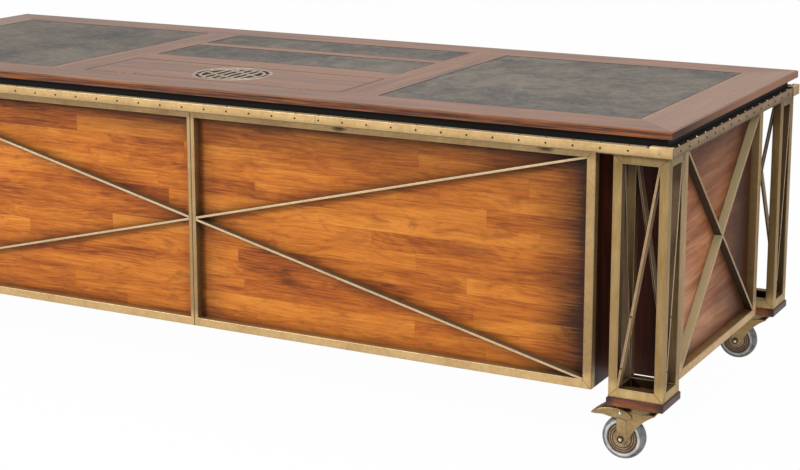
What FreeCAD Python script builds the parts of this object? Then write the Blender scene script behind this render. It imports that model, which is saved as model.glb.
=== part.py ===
import FreeCAD, Part
import math
import os
from FreeCAD import Vector

os.makedirs("parts", exist_ok=True)

# A campaign desk on four braced corner towers with swivel casters. Millimetres, +Z up.
# The origin is on the floor under the middle of the top. The visitor's side faces -Y,
# the user's side with the kneehole and the drawers faces +Y.

# Overall
desk_length = 2490        # over the brass edge rails, along X
desk_depth = 954          # over the brass edge rails, along Y
desk_height = 762         # floor to the top's surface

# Layers of the top, from the surface down
top_thickness = 18
top_inset = 2             # the top's edge stands this far behind the rails' faces
top_arris = 3
band_height = 20          # black band under the top
band_inset = 16           # behind the rails' faces on the front and the ends
band_inset_rear = 46      # behind the rear rail's face
rail_thickness = 3        # brass angle
rail_width = 60           # flange that lies on the deck
rail_height = 22
rail_joint_x = 374        # butt joint in the front and rear rails
deck_thickness = 18
cap_length = 51           # brass corner caps on the rails
cap_thickness = 3
cap_ledge = 14

# Leather insets and the lid in the top
border_width = 114        # wooden border outside the leather
wing_length = 652         # leather inset at each end, along X
wing_border = 106         # wood between a wing's leather and the centre's insets
strip_depth_rear = 166    # the two leather strips, along Y
strip_depth_front = 194
strip_border = 48         # wood between the strips
lid_depth = 222
leather_thickness = 2
leather_pocket = 2.5
leather_gutter = 2
lid_gap = 1.5
lid_ledge = 11
lid_arris = 1
seat_gap = 0.3            # between pieces that move past or rest on each other
brass_ease = 0.8          # chamfer on the rails' and the caps' outer edges

# Lid hinges
hinge_inset = 121         # from the lid's ends to the hinges' middles
hinge_length = 64
hinge_leaf = 1.5
hinge_leaf_height = 12
hinge_barrel = 2.5
hinge_pin = 1.2
hinge_link = 1            # knuckle's link to its leaf, below the barrel
hinge_drop = 1            # pin below the top's surface
hinge_knuckles = 2        # the lid lifts off its pins
pin_clearance = 0.06

# Medallion let into the lid
medallion_radius = 102
medallion_rim = 13
medallion_thickness = 3
medallion_pocket = 1.5
medallion_bars = 3        # each way, across the rim
medallion_bar = 10
medallion_pitch = 40

# Corner towers of square tube
tower_inset = 9           # tower faces behind the rails' faces
tower_length = 127        # along X
tower_width = 107         # along Y
tube = 21
tube_ease = 1.2
brace_thickness = 5
brace_depth = 20
brace_inset = 1           # braces stand back from the tube's face
plinth_height = 21
plinth_overhang = 3
plinth_arris = 3

# Framed panels between the towers
frame_inset = 25          # frames behind the tower faces
frame_drop = 1.5          # frames reach this far below the towers
notch = 152               # square corner notch that a tower stands in
mullion_half = 10.5
panel_thickness = 18

# Pedestals and drawers
knee_half = 450
wall = 18
drawer_rail_z = 490       # underside of the rail between two drawers
drawer_gap = 1.5
drawer_front = 18
drawer_front_inset = 2
drawer_front_ease = 1.5
drawer_side = 12
drawer_bottom = 8
drawer_length = 640
drawer_box_gap = 3
drawer_drop = 25          # drawer sides below the top of the front
runner_width = 18
runner_thickness = 12
pull_length = 140
pull_bar = 10             # square bar
pull_reach = 26

# Casters
caster_height = 136       # floor to the underside of the plinth
wheel_radius = 50
wheel_trail = 42
tyre_half = 16.5
tyre_depth = 14
disc_half = 17.5          # half width of the wheel's disc inside the tyre
axle_radius = 5
axle_clearance = 0.08
nut_radius = 9            # over a hexagon nut's corners
nut_height = 5
fork_half = 22.5
fork_sheet = 3
fork_foot_back = 10       # a leg's foot behind, ahead of and below the axle
fork_foot_front = 20
fork_foot_drop = 10
fork_foot_rise = 8        # the leading edge starts this far above the axle
fork_sweep = 6.5          # depth of the hollow in a leg's leading edge
fork_rib = 9.5            # half width of the broad rib pressed along a leg
fork_rib_lead = 2         # the rib's middle stands this far ahead of the axle
fork_rib_foot = 10        # above the axle
fork_rib_drop = 2         # the rib ends this far below the pedal's ear
fork_rib_depth = 1.5
crown_z = 118
crown_sheet = 3.5
crown_front = 36
crown_back = 55
race_radius = 30
plate_length = 95
plate_width = 84
plate_thickness = 4
plate_corner = 6
kingpin_radius = 6
kingpin_end = 2           # below the fork's crown
pedal_pivot_x = -44
pedal_pivot_z = 111
pedal_pin = 3
pedal_pin_end = 0.6       # past the pedal's ear
pedal_sheet = 2.5
pedal_narrowing = 9       # on each side at the tip
# Side view of the pedal from its pivot, from the front over the top to the tip
pedal_top = [(26, -3.5), (14, 5), (-11, 10.5), (-34, 9), (-53, 4), (-73, -9.5)]
pedal_under = [(-70, -12), (-54, -9), (-40, -8.5), (-18, -12), (20, -12)]
pedal_web_points = 4      # the web runs under the last points of the top

# Levels and planes worked out from the sizes above
top_under = desk_height - top_thickness
band_under = top_under - band_height
deck_top = band_under - rail_thickness
deck_under = deck_top - deck_thickness
rail_under = band_under - rail_height
tower_foot = caster_height + plinth_height
frame_foot = tower_foot - frame_drop
half_x = desk_length / 2
half_y = desk_depth / 2
tower_x = half_x - tower_inset - tower_length / 2
tower_y = half_y - tower_inset - tower_width / 2
frame_x = half_x - tower_inset - frame_inset
frame_y = half_y - tower_inset - frame_inset
side_x = frame_x - notch
side_y = frame_y - notch
field_y = half_y - top_inset - border_width
leather_x = half_x - top_inset - border_width
wing_inner = leather_x - wing_length
field_half = wing_inner - wing_border
hinge_x = field_half - hinge_inset
lid_front_y = -field_y
lid_back_y = lid_front_y + lid_depth
strip_rear_y = field_y - strip_depth_rear
strip_front_y = strip_rear_y - strip_border - strip_depth_front
race_height = caster_height - plate_thickness - seat_gap - crown_z
corners = [("front_left", -1, -1), ("front_right", 1, -1), ("rear_left", -1, 1), ("rear_right", 1, 1)]


def box(x0, x1, y0, y1, z0, z1):
    return Part.makeBox(x1 - x0, y1 - y0, z1 - z0, Vector(x0, y0, z0))


def extruded(points, travel):
    return Part.Face(Part.makePolygon(points + points[:1])).extrude(travel)


def plan(points, z0, z1):
    return extruded([Vector(x, y, z0) for x, y in points], Vector(0, 0, z1 - z0))


def moved(shape, x=0, y=0, z=0):
    copy = shape.copy()
    copy.translate(Vector(x, y, z))
    return copy


def flipped(shape, normal):
    return shape.mirror(Vector(0, 0, 0), normal)


def chamfered(shape, size, wanted):
    return shape.makeChamfer(size, [edge for edge in shape.Edges if wanted(edge.BoundBox)])


def save(name, *shapes):
    shape = shapes[0] if len(shapes) == 1 else Part.makeCompound(list(shapes))
    shape.exportStep(f"parts/{name}.step")
    print(name, len(shape.Solids), round(shape.Volume / 1000))


def diagonal(start, end, normal, thickness, depth):
    """A flat bar on edge between two points, its depth along the normal."""
    along = end.sub(start).normalize()
    across = along.cross(normal).multiply(thickness / 2)
    past = along.multiply(4 * depth)
    a, b = start.sub(past), end.add(past)
    return extruded([a.sub(across), b.sub(across), b.add(across), a.add(across)], normal * depth)


def mitred_frame(u0, u1, z0, z1, left, right, post_y, rail_z=None):
    """A flat tube frame in the XZ plane whose outer face is at post_y, depth towards +Y."""
    body = box(u0, u1, post_y, post_y + tube, z0, z1)
    low, high = z0 + tube, z1 - tube
    spans = [(low, high)] if rail_z is None else [(low, rail_z), (rail_z + tube, high)]
    for a, b in spans:
        body = body.cut(box(u0 + left, u1 - right, post_y - 1, post_y + tube + 1, a, b))
    return chamfered(body, tube_ease, lambda b: b.YLength < 1e-6 and abs(b.YMin - post_y) < 1e-6)


# ---- top ----

def top_frame():
    x, y = half_x - top_inset, half_y - top_inset
    slab = box(-x, x, -y, y, top_under, desk_height)
    slab = chamfered(slab, top_arris, lambda b: b.ZLength < 1e-6 and b.ZMin > desk_height - 1)
    pocket_floor = desk_height - leather_pocket
    for x0, x1, y0, y1 in leather_fields():
        slab = slab.cut(box(x0, x1, y0, y1, pocket_floor, desk_height + 1))
    opening = box(-field_half - lid_gap, field_half + lid_gap, lid_front_y - lid_gap,
                  lid_back_y + lid_gap, top_under - 1, desk_height + 1)
    slab = slab.cut(opening)
    for x in (-hinge_x, hinge_x):
        slab = slab.cut(hinge_recess(x, -1))
    return slab


def leather_fields():
    fields = [(-leather_x, -wing_inner, -field_y, field_y), (wing_inner, leather_x, -field_y, field_y)]
    strips = [(strip_front_y, strip_front_y + strip_depth_front), (strip_rear_y, field_y)]
    return fields + [(-field_half, field_half, a, b) for a, b in strips]


def leather(field):
    x0, x1, y0, y1 = field
    g = leather_gutter
    floor = desk_height - leather_pocket
    return box(x0 + g, x1 - g, y0 + g, y1 - g, floor, floor + leather_thickness)


# ---- lid and hinges ----

hinge_y = lid_front_y - lid_gap / 2
hinge_z = desk_height - hinge_drop


def leaf_span(side):
    """The Y span of a leaf: in the top's edge for side -1, in the lid's edge for side 1."""
    edge = lid_front_y - lid_gap if side < 0 else lid_front_y
    return sorted((edge, edge + side * hinge_leaf))


def hinge_recess(x, side):
    """Room for one leaf, and for the barrel, in the wood beside the gap."""
    half = hinge_length / 2
    room = hinge_barrel + seat_gap
    y0, y1 = leaf_span(side)
    leaf = box(x - half, x + half, y0, y1, hinge_z - hinge_leaf_height, desk_height + 1)
    barrel = box(x - half - seat_gap, x + half + seat_gap, hinge_y - room, hinge_y + room,
                 hinge_z - room, desk_height + 1)
    return leaf.fuse(barrel)


def hinge_half(x, side):
    """One leaf with its knuckle; the fixed half (side -1) has the pin that the other half turns on."""
    x_axis = Vector(1, 0, 0)
    step = hinge_length / hinge_knuckles
    start = x - hinge_length / 2
    y0, y1 = leaf_span(side)
    half = box(start, start + hinge_length, y0, y1, hinge_z - hinge_leaf_height,
               hinge_z - hinge_barrel - seat_gap)
    web = sorted((hinge_y, y0 if side < 0 else y1))
    for k in range(0 if side < 0 else 1, hinge_knuckles, 2):
        a = start + k * step + (seat_gap / 2 if k > 0 else 0)
        b = start + (k + 1) * step - (seat_gap / 2 if k < hinge_knuckles - 1 else 0)
        knuckle = Part.makeCylinder(hinge_barrel, b - a, Vector(a, hinge_y, hinge_z), x_axis)
        link = box(a, b, web[0], web[1], hinge_z - hinge_barrel - hinge_link, hinge_z)
        half = half.fuse([knuckle, link])
    pin_start = Vector(start, hinge_y, hinge_z)
    if side < 0:
        return half.fuse(Part.makeCylinder(hinge_pin, hinge_length, pin_start, x_axis)).removeSplitter()
    return half.cut(Part.makeCylinder(hinge_pin + pin_clearance, hinge_length, pin_start, x_axis))


def lid():
    slab = box(-field_half, field_half, lid_front_y, lid_back_y, top_under + seat_gap, desk_height)
    slab = chamfered(slab, lid_arris, lambda b: b.ZLength < 1e-6 and b.ZMin > desk_height - 1)
    centre = Vector(0, (lid_front_y + lid_back_y) / 2, desk_height - medallion_pocket)
    slab = slab.cut(Part.makeCylinder(medallion_radius + seat_gap, medallion_pocket + 1, centre))
    for x in (-hinge_x, hinge_x):
        slab = slab.cut(hinge_recess(x, 1))
    return slab


def ring(outer, width, height, centre):
    return Part.makeCylinder(outer, height, centre).cut(Part.makeCylinder(outer - width, height, centre))


def medallion():
    """A rim round a diagonal lattice of flat bars."""
    centre = Vector(0, (lid_front_y + lid_back_y) / 2, desk_height - medallion_pocket)
    rim = ring(medallion_radius, medallion_rim, medallion_thickness, centre)
    reach = medallion_radius - medallion_rim / 2
    bars = []
    for turn in (45, 135):
        for k in range(medallion_bars):
            middle = (k - (medallion_bars - 1) / 2) * medallion_pitch
            half = math.sqrt(reach ** 2 - (abs(middle) + medallion_bar / 2) ** 2)
            edge = middle - medallion_bar / 2
            bar = box(-half, half, edge, edge + medallion_bar, 0, medallion_thickness)
            bar.rotate(Vector(0, 0, 0), Vector(0, 0, 1), turn)
            bars.append(moved(bar, centre.x, centre.y, centre.z))
    return rim.fuse(bars).removeSplitter()


# ---- band, deck and brass rails ----

def band():
    x = half_x - band_inset
    front, rear = -half_y + band_inset, half_y - band_inset_rear
    inner_x, inner_y = half_x - rail_width, half_y - rail_width
    body = box(-x, x, front, rear, band_under, top_under)
    body = body.fuse(box(-inner_x, inner_x, -inner_y, inner_y, deck_top, band_under))
    well = box(-field_half + lid_ledge, field_half - lid_ledge, lid_front_y + lid_ledge,
               lid_back_y - lid_ledge, deck_top - 1, top_under + 1)
    return body.cut(well).removeSplitter()


def deck():
    x, y = half_x - rail_thickness, half_y - rail_thickness
    return box(-x, x, -y, y, deck_under, deck_top)


def long_rail(x0, x1):
    """A stretch of the front rail; its flange stops at the end rails' flanges."""
    stop = half_x - rail_width
    skirt = box(x0, x1, -half_y, -half_y + rail_thickness, rail_under, deck_top)
    flange = box(max(x0, -stop), min(x1, stop), -half_y, -half_y + rail_width, deck_top, band_under)
    rail = skirt.fuse(flange).removeSplitter()
    return chamfered(rail, brass_ease, lambda b: b.XLength > 50 and abs(b.ZMin - band_under) < 1e-6
                     and abs(b.YMax + half_y) < 1e-6)


def end_rail():
    skirt = box(half_x - rail_thickness, half_x, -half_y, half_y, rail_under, deck_top)
    flange = box(half_x - rail_width, half_x, -half_y, half_y, deck_top, band_under)
    rail = skirt.fuse(flange).removeSplitter()
    return chamfered(rail, brass_ease, lambda b: b.YLength > 50 and abs(b.ZMin - band_under) < 1e-6
                     and abs(b.XMin - half_x) < 1e-6)


def corner_cap(along_x, across_y):
    """A short angle over the right-hand end of the rail of a side that faces -Y."""
    face = -across_y
    outside = box(along_x - cap_length, along_x, face - cap_thickness, face, rail_under,
                  band_under + cap_thickness)
    ledge = box(along_x - cap_length, along_x, face, face + cap_ledge, band_under, band_under + cap_thickness)
    cap = outside.fuse(ledge).removeSplitter()
    return chamfered(cap, brass_ease, lambda b: b.XLength > 10 and b.YMax < face - cap_thickness / 2
                     and b.ZMin > band_under + 1)


def corner_caps():
    front = corner_cap(half_x, half_y)
    side = corner_cap(half_y, half_x)
    side.rotate(Vector(0, 0, 0), Vector(0, 0, 1), 90)
    caps = [front, side]
    for cap in (front, side):
        back = cap.copy()
        back.rotate(Vector(0, 0, 0), Vector(0, 0, 1), 180)
        caps.append(back)
    return caps


# ---- corner towers ----

def tower():
    a, b = tower_length / 2, tower_width / 2
    low, high = tower_foot + tube, deck_under - tube
    body = box(-a, a, -b, b, tower_foot, deck_under)
    body = body.cut([
        box(-a + tube, a - tube, -b - 1, b + 1, low, high),
        box(-a - 1, a + 1, -b + tube, b - tube, low, high),
        box(-a + tube, a - tube, -b + tube, b - tube, tower_foot - 1, deck_under + 1),
    ])
    return chamfered(body, tube_ease, lambda e: e.ZLength > tube and (
        abs(abs(e.Center.x) - a) < 1e-6 or abs(abs(e.Center.y) - b) < 1e-6))


def tower_braces():
    """One flat bar on edge in each face; seen from outside, each rises to the right."""
    a, b = tower_length / 2, tower_width / 2
    low, high = tower_foot + tube, deck_under - tube
    bars = []
    for normal, half, reach in ((Vector(0, 1, 0), a, b), (Vector(-1, 0, 0), b, a)):
        right = normal.cross(Vector(0, 0, 1))
        plane = normal * (brace_inset - reach)
        foot = plane.add(right * (tube - half)).add(Vector(0, 0, low))
        head = plane.add(right * (half - tube)).add(Vector(0, 0, high))
        bar = diagonal(foot, head, normal, brace_thickness, brace_depth)
        room = box(-a + tube, a - tube, -b, b, low, high)
        if normal.x:
            room = box(-a, a, -b + tube, b - tube, low, high)
        bar = bar.common(room)
        other = bar.copy()
        other.rotate(Vector(0, 0, 0), Vector(0, 0, 1), 180)
        bars += [bar, other]
    return bars


def plinth():
    a, b = tower_length / 2 + plinth_overhang, tower_width / 2 + plinth_overhang
    body = box(-a, a, -b, b, caster_height, tower_foot)
    return chamfered(body, plinth_arris, lambda e: e.ZLength < 1e-6)


# ---- framed panels ----

def front_frame():
    """The right-hand half of the visitor's side."""
    return mitred_frame(0, side_x, frame_foot, deck_under, mullion_half, tube, -frame_y)


def front_braces():
    """Two bars from the mullion's middle to the far corners of the right-hand bay."""
    low, high = frame_foot + tube, deck_under - tube
    room = box(mullion_half, side_x - tube, -frame_y, -frame_y + tube, low, high)
    start = Vector(0, brace_inset - frame_y, (low + high) / 2)
    bars = []
    for z in (low, high):
        end = Vector(side_x - tube, brace_inset - frame_y, z)
        bars.append(diagonal(start, end, Vector(0, 1, 0), brace_thickness, brace_depth).common(room))
    return bars[0].fuse(bars[1]).removeSplitter()


def end_frame():
    """Made facing -Y, then turned to face +X."""
    frame = mitred_frame(-side_y, side_y, frame_foot, deck_under, tube, tube, -frame_x)
    frame.rotate(Vector(0, 0, 0), Vector(0, 0, 1), 90)
    return frame


def end_braces():
    low, high = frame_foot + tube, deck_under - tube
    reach = side_y - tube
    room = box(-reach, reach, -frame_x, -frame_x + tube, low, high)
    bars = []
    for side in (-1, 1):
        start = Vector(-side * reach, brace_inset - frame_x, low)
        end = Vector(side * reach, brace_inset - frame_x, high)
        bars.append(diagonal(start, end, Vector(0, 1, 0), brace_thickness + 1, brace_depth).common(room))
    cross = bars[0].fuse(bars[1]).removeSplitter()
    cross.rotate(Vector(0, 0, 0), Vector(0, 0, 1), 90)
    return cross


def front_panel():
    back = -frame_y + tube
    return box(0, side_x, back, back + panel_thickness, frame_foot, deck_under)


def end_panel():
    back = frame_x - tube
    return box(back - panel_thickness, back, -side_y, side_y, frame_foot, deck_under)


# ---- pedestals ----

case_front = -frame_y + tube + panel_thickness
case_rear = frame_y - tube
case_end = frame_x - tube - panel_thickness


def rear_frame():
    """The brass frame round the drawers of the right-hand pedestal, facing +Y."""
    frame = mitred_frame(-side_x, -knee_half, frame_foot, deck_under, tube, tube, -frame_y, drawer_rail_z)
    frame.rotate(Vector(0, 0, 0), Vector(0, 0, 1), 180)
    return frame


def drawer_openings():
    """Foot and head of the lower and the upper drawer opening."""
    return [(frame_foot + tube, drawer_rail_z), (drawer_rail_z + tube, deck_under - tube)]


def case():
    """The right-hand pedestal: a box round the drawers and a wing behind the end panel."""
    body = plan([(knee_half, case_front), (side_x, case_front), (side_x, -side_y), (case_end, -side_y),
                 (case_end, side_y), (side_x, side_y), (side_x, case_rear), (knee_half, case_rear)],
                frame_foot, deck_under)
    floor = frame_foot + wall
    body = body.cut([
        box(knee_half + wall, side_x - wall, case_front + wall, case_rear + 1, floor, deck_under + 1),
        box(side_x, case_end - wall, -side_y + wall, side_y - wall, floor, deck_under + 1),
    ])
    tail = case_rear - drawer_length
    runners = []
    for foot, head in drawer_openings():
        top = foot + drawer_gap - seat_gap
        under = max(top - runner_thickness, floor)
        for x0, x1 in ((knee_half + wall, knee_half + wall + runner_width),
                       (side_x - wall - runner_width, side_x - wall)):
            runners.append(box(x0, x1, tail, case_rear, under, top))
    return body.fuse(runners).removeSplitter()


def drawer(foot, head):
    """An open box behind a front that fills its opening in the frame."""
    x0, x1 = knee_half + tube + drawer_gap, side_x - tube - drawer_gap
    z0, z1 = foot + drawer_gap, head - drawer_gap
    face = frame_y - drawer_front_inset
    front = box(x0, x1, face - drawer_front, face, z0, z1)
    front = chamfered(front, drawer_front_ease, lambda b: b.YLength < 1e-6 and b.YMin > face - 1)
    x0, x1 = x0 + drawer_box_gap, x1 - drawer_box_gap
    back = face - drawer_length
    rim = z1 - drawer_drop
    tray = box(x0, x1, back, face - drawer_front, z0, rim)
    tray = tray.cut(box(x0 + drawer_side, x1 - drawer_side, back + drawer_side, face - drawer_front,
                        z0 + drawer_bottom, rim + 1))
    return front.fuse(tray).removeSplitter()


def pull(foot, head):
    """A square bar with a leg at each end and its outer corners cut off."""
    x, z = (knee_half + side_x) / 2, (foot + head) / 2
    face = frame_y - drawer_front_inset
    half, bar, corner = pull_length / 2, pull_bar, pull_bar / 4
    right = [(half - bar, 0), (half, 0), (half, pull_reach - corner), (half - corner, pull_reach)]
    left = [(-u, v) for u, v in reversed(right)]
    inside = [(bar - half, pull_reach - bar), (half - bar, pull_reach - bar)]
    outline = right + left + inside
    return plan([(x + u, face + v) for u, v in outline], z - bar / 2, z + bar / 2)


# ---- casters, made about a swivel axis at the origin with the wheel trailing to -X ----

axle_x = -wheel_trail
y_axis = Vector(0, 1, 0)


def turned(half_width, inner, outer):
    """A ring about the wheel's axis, from its section on one side of the axis."""
    points = [Vector(axle_x, y, wheel_radius + r) for y, r in
              ((-half_width, inner), (half_width, inner), (half_width, outer), (-half_width, outer))]
    face = Part.Face(Part.makePolygon(points + points[:1]))
    return face.revolve(Vector(axle_x, 0, wheel_radius), y_axis, 360)


def wheel():
    """A disc that turns on the axle, proud of the tyre round it."""
    return turned(disc_half, axle_radius + axle_clearance, wheel_radius - tyre_depth)


def tyre():
    return turned(tyre_half, wheel_radius - tyre_depth, wheel_radius)


def nut(centre, travel):
    """A hexagon prism from its centre along the travel, which is square to X."""
    across = Vector(1, 0, 0)
    other = across.cross(travel).normalize()
    points = []
    for k in range(6):
        angle = math.pi * k / 3
        spoke = across * math.cos(angle) + other * math.sin(angle)
        points.append(centre.add(spoke * nut_radius))
    return extruded(points, travel)


def fork_leg():
    """A leg's side view: a cropped foot round the axle, widening to the crown with a hollow edge."""
    z = wheel_radius
    foot_end = axle_x + fork_foot_front
    corners = [(crown_front, crown_z - crown_sheet), (crown_front, crown_z), (-crown_back, crown_z),
               (axle_x - fork_foot_back, z), (axle_x - fork_foot_back / 2, z - fork_foot_drop),
               (foot_end - fork_foot_drop, z - fork_foot_drop), (foot_end, z), (foot_end, z + fork_foot_rise)]
    points = [Vector(x, -fork_half, z) for x, z in corners]
    edge = points[0].sub(points[-1])
    hollow = edge.cross(y_axis).normalize() * fork_sweep
    middle = points[-1].add(edge / 2).add(hollow)
    leading = Part.Arc(points[-1], middle, points[0]).toShape()
    return Part.Face(Part.Wire(Part.makePolygon(points).Edges + [leading]))


def fork(braked):
    """A pressed fork with a rib on each leg and its axle; a braked one has the pedal's pins."""
    inside = fork_half - fork_sheet
    body = fork_leg().extrude(y_axis * (2 * fork_half))
    body = body.cut(box(-crown_back - 1, crown_front + 1, -inside, inside, 0, crown_z - crown_sheet))
    body = body.cut(Part.makeCylinder(kingpin_radius + seat_gap, crown_z))
    axle_foot = Vector(axle_x, -fork_half, wheel_radius)
    parts = [Part.makeCylinder(axle_radius, 2 * fork_half, axle_foot, y_axis)]
    rib_x, rib_z = axle_x + fork_rib_lead, wheel_radius + fork_rib_foot
    rib_top = pedal_pivot_z + min(v for _, v in pedal_under) - fork_rib_drop
    pin_length = seat_gap + pedal_sheet + pedal_pin_end
    for side in (-1, 1):
        out = y_axis * side
        face = out * fork_half
        parts.append(nut(face + Vector(axle_x, 0, wheel_radius), out * nut_height))
        rib = [face + Vector(rib_x - fork_rib, 0, rib_z), face + Vector(rib_x + fork_rib, 0, rib_z),
               face + Vector(rib_x + fork_rib, 0, rib_top), face + Vector(rib_x - fork_rib, 0, rib_top)]
        parts.append(extruded(rib, out * fork_rib_depth))
        if braked:
            pin_foot = face + Vector(pedal_pivot_x, 0, pedal_pivot_z)
            parts.append(Part.makeCylinder(pedal_pin, pin_length, pin_foot, out))
    return body.fuse(parts).removeSplitter()


def pedal():
    """A brake lever: two ears outside the legs under a web that curves down to its tip."""
    inner = fork_half + seat_gap
    outer = inner + pedal_sheet
    x, z = pedal_pivot_x, pedal_pivot_z
    ears = extruded([Vector(x + u, -outer, z + v) for u, v in pedal_top + pedal_under], y_axis * (2 * outer))
    over = pedal_top[-pedal_web_points:]
    under = [(u, v - pedal_sheet) for u, v in reversed(over)]
    web = extruded([Vector(x + u, -outer, z + v) for u, v in over + under], y_axis * (2 * outer))
    tip = x + pedal_top[-1][0]
    bend = x + under[-2][0]
    room = box(tip - 1, 0, -inner, inner, 0, caster_height)
    taper = plan([(0, -outer), (0, outer), (bend, outer), (tip, outer - pedal_narrowing),
                  (tip, pedal_narrowing - outer), (bend, -outer)], 0, caster_height)
    body = ears.cut(room).fuse(web).common(taper)
    bore = Part.makeCylinder(pedal_pin + pin_clearance, 3 * outer, Vector(x, -1.5 * outer, z), y_axis)
    return body.cut(bore).removeSplitter()


def caster_plate():
    """The fixed plate under the plinth, its bearing ring and the kingpin."""
    under = caster_height - plate_thickness
    a, b = plate_length / 2, plate_width / 2
    plate = box(-a, a, -b, b, under, caster_height)
    plate = chamfered(plate, plate_corner, lambda e: e.ZLength > plate_thickness / 2)
    race = Part.makeCylinder(race_radius, race_height, Vector(0, 0, under - race_height))
    pin_foot = Vector(0, 0, crown_z - crown_sheet - kingpin_end)
    pin = Part.makeCylinder(kingpin_radius, under - pin_foot.z, pin_foot)
    return plate.fuse([race, pin]).removeSplitter()


# ---- every piece ----

def main():
    x_axis = Vector(1, 0, 0)
    save("top_frame", top_frame())
    fields = leather_fields()
    save("leather_left", leather(fields[0]))
    save("leather_right", leather(fields[1]))
    save("leather_strips", leather(fields[2]), leather(fields[3]))
    save("lid", lid())
    save("lid_medallion", medallion())
    save("hinge_fixed_leaves", *[hinge_half(x, -1) for x in (-hinge_x, hinge_x)])
    save("hinge_lid_leaves", *[hinge_half(x, 1) for x in (-hinge_x, hinge_x)])
    save("band", band())
    save("deck", deck())
    end = half_x - rail_thickness
    front = [long_rail(-end, rail_joint_x), long_rail(rail_joint_x, end)]
    save("rail_front", *front)
    for rail in front:
        rail.rotate(Vector(0, 0, 0), Vector(0, 0, 1), 180)
    save("rail_rear", *front)
    save("rail_right", end_rail())
    save("rail_left", flipped(end_rail(), x_axis))
    save("corner_caps", *corner_caps())

    plain_tower, plain_braces = tower(), tower_braces()
    plain_caster = {"fork": fork(False), "wheel": wheel(), "tyre": tyre()}
    braked_caster = {"fork": fork(True), "wheel": wheel(), "tyre": tyre(), "pedal": pedal()}
    braces, plinths, plates = [], [], []
    for name, sx, sy in corners:
        x, y = sx * tower_x, sy * tower_y
        save(f"tower_{name}", moved(plain_tower, x, y))
        braces += [moved(bar, x, y) for bar in plain_braces]
        plinths.append(moved(plinth(), x, y))
        plates.append(moved(caster_plate(), x, y))
        caster = braked_caster if sy < 0 else plain_caster
        for piece, shape in caster.items():
            shape = flipped(shape, x_axis) if sx < 0 else shape
            save(f"{piece}_{name}", moved(shape, x, y))
    save("tower_braces", *braces)
    save("plinths", *plinths)
    save("caster_plates", *plates)

    pairs = {"front_frame": front_frame(), "front_panel": front_panel(), "end_frame": end_frame(),
             "end_panel": end_panel(), "case": case(), "rear_frame": rear_frame()}
    for name, shape in pairs.items():
        save(f"{name}_right", shape)
        save(f"{name}_left", flipped(shape, x_axis))
    save("front_braces", front_braces(), flipped(front_braces(), x_axis))
    save("end_braces", end_braces(), flipped(end_braces(), x_axis))

    for level, (foot, head) in zip(("lower", "upper"), drawer_openings()):
        box_shape, pull_shape = drawer(foot, head), pull(foot, head)
        save(f"drawer_{level}_right", box_shape)
        save(f"drawer_{level}_left", flipped(box_shape, x_axis))
        save(f"pull_{level}_right", pull_shape)
        save(f"pull_{level}_left", flipped(pull_shape, x_axis))


main()
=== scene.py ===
import math
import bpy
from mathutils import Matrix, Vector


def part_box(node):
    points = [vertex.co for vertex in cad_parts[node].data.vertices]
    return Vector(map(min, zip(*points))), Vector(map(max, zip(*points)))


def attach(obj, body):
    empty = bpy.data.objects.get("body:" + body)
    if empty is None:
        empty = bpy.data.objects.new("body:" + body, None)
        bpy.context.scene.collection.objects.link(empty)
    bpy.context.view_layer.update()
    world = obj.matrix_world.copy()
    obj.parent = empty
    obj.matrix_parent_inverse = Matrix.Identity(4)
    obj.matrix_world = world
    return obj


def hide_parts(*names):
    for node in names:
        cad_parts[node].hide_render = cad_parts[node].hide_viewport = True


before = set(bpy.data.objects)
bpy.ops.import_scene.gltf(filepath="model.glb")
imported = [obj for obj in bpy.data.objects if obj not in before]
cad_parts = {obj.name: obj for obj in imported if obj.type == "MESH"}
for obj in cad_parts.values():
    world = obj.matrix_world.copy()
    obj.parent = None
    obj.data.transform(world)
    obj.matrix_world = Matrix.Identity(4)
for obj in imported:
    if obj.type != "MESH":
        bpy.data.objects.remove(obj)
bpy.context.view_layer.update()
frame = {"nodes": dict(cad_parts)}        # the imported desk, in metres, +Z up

from fnmatch import filter as matching
from functools import partial, reduce

import bmesh
import bpy
from mathutils import Matrix, Vector

nodes = frame["nodes"]
corners = {"front_left": -1, "front_right": 1, "rear_left": -1, "rear_right": 1}  # with their side in X
towerLow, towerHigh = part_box("tower_rear_right")
towerCentre, towerHalf = (towerLow + towerHigh) / 2, (towerHigh - towerLow) / 2
print("frame loaded:", len(nodes), "nodes")


# small helpers for shader trees; a socket knows its own tree

def hexColour(code):  # "b06a2c" in sRGB to a linear RGBA
    linear = []
    for start in (0, 2, 4):
        c = int(code[start:start + 2], 16) / 255
        linear.append(c / 12.92 if c <= 0.04045 else ((c + 0.055) / 1.055) ** 2.4)
    return (*linear, 1.0)


def plugIn(socket, value):  # links a socket, writes a number, or writes a hex code as a colour
    if isinstance(value, bpy.types.NodeSocket):
        socket.id_data.links.new(value, socket)
    elif value is not None:
        socket.default_value = hexColour(value) if isinstance(value, str) else value


def addNode(tree, kind, settings=None, **inputs):
    node = tree.nodes.new("ShaderNode" + kind)
    for name, value in (settings or {}).items():
        setattr(node, name, value)
    for name, value in inputs.items():
        plugIn(node.inputs[name.replace("_", " ")], value)
    return node


def treeOf(*values):  # the tree that the first socket among the values belongs to
    return next(value.id_data for value in values if isinstance(value, bpy.types.NodeSocket))


def sums(operation, *values, clamp=False):
    node = addNode(treeOf(*values), "Math", {"operation": operation, "use_clamp": clamp})
    for socket, value in zip(node.inputs, values):
        plugIn(socket, value)
    return node.outputs[0]


plus, minus, times, divide = [partial(sums, kind) for kind in ("ADD", "SUBTRACT", "MULTIPLY", "DIVIDE")]
smaller, larger, timesPlus = [partial(sums, kind) for kind in ("MINIMUM", "MAXIMUM", "MULTIPLY_ADD")]
isAbove, isBelow, size = [partial(sums, kind) for kind in ("GREATER_THAN", "LESS_THAN", "ABSOLUTE")]


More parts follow.
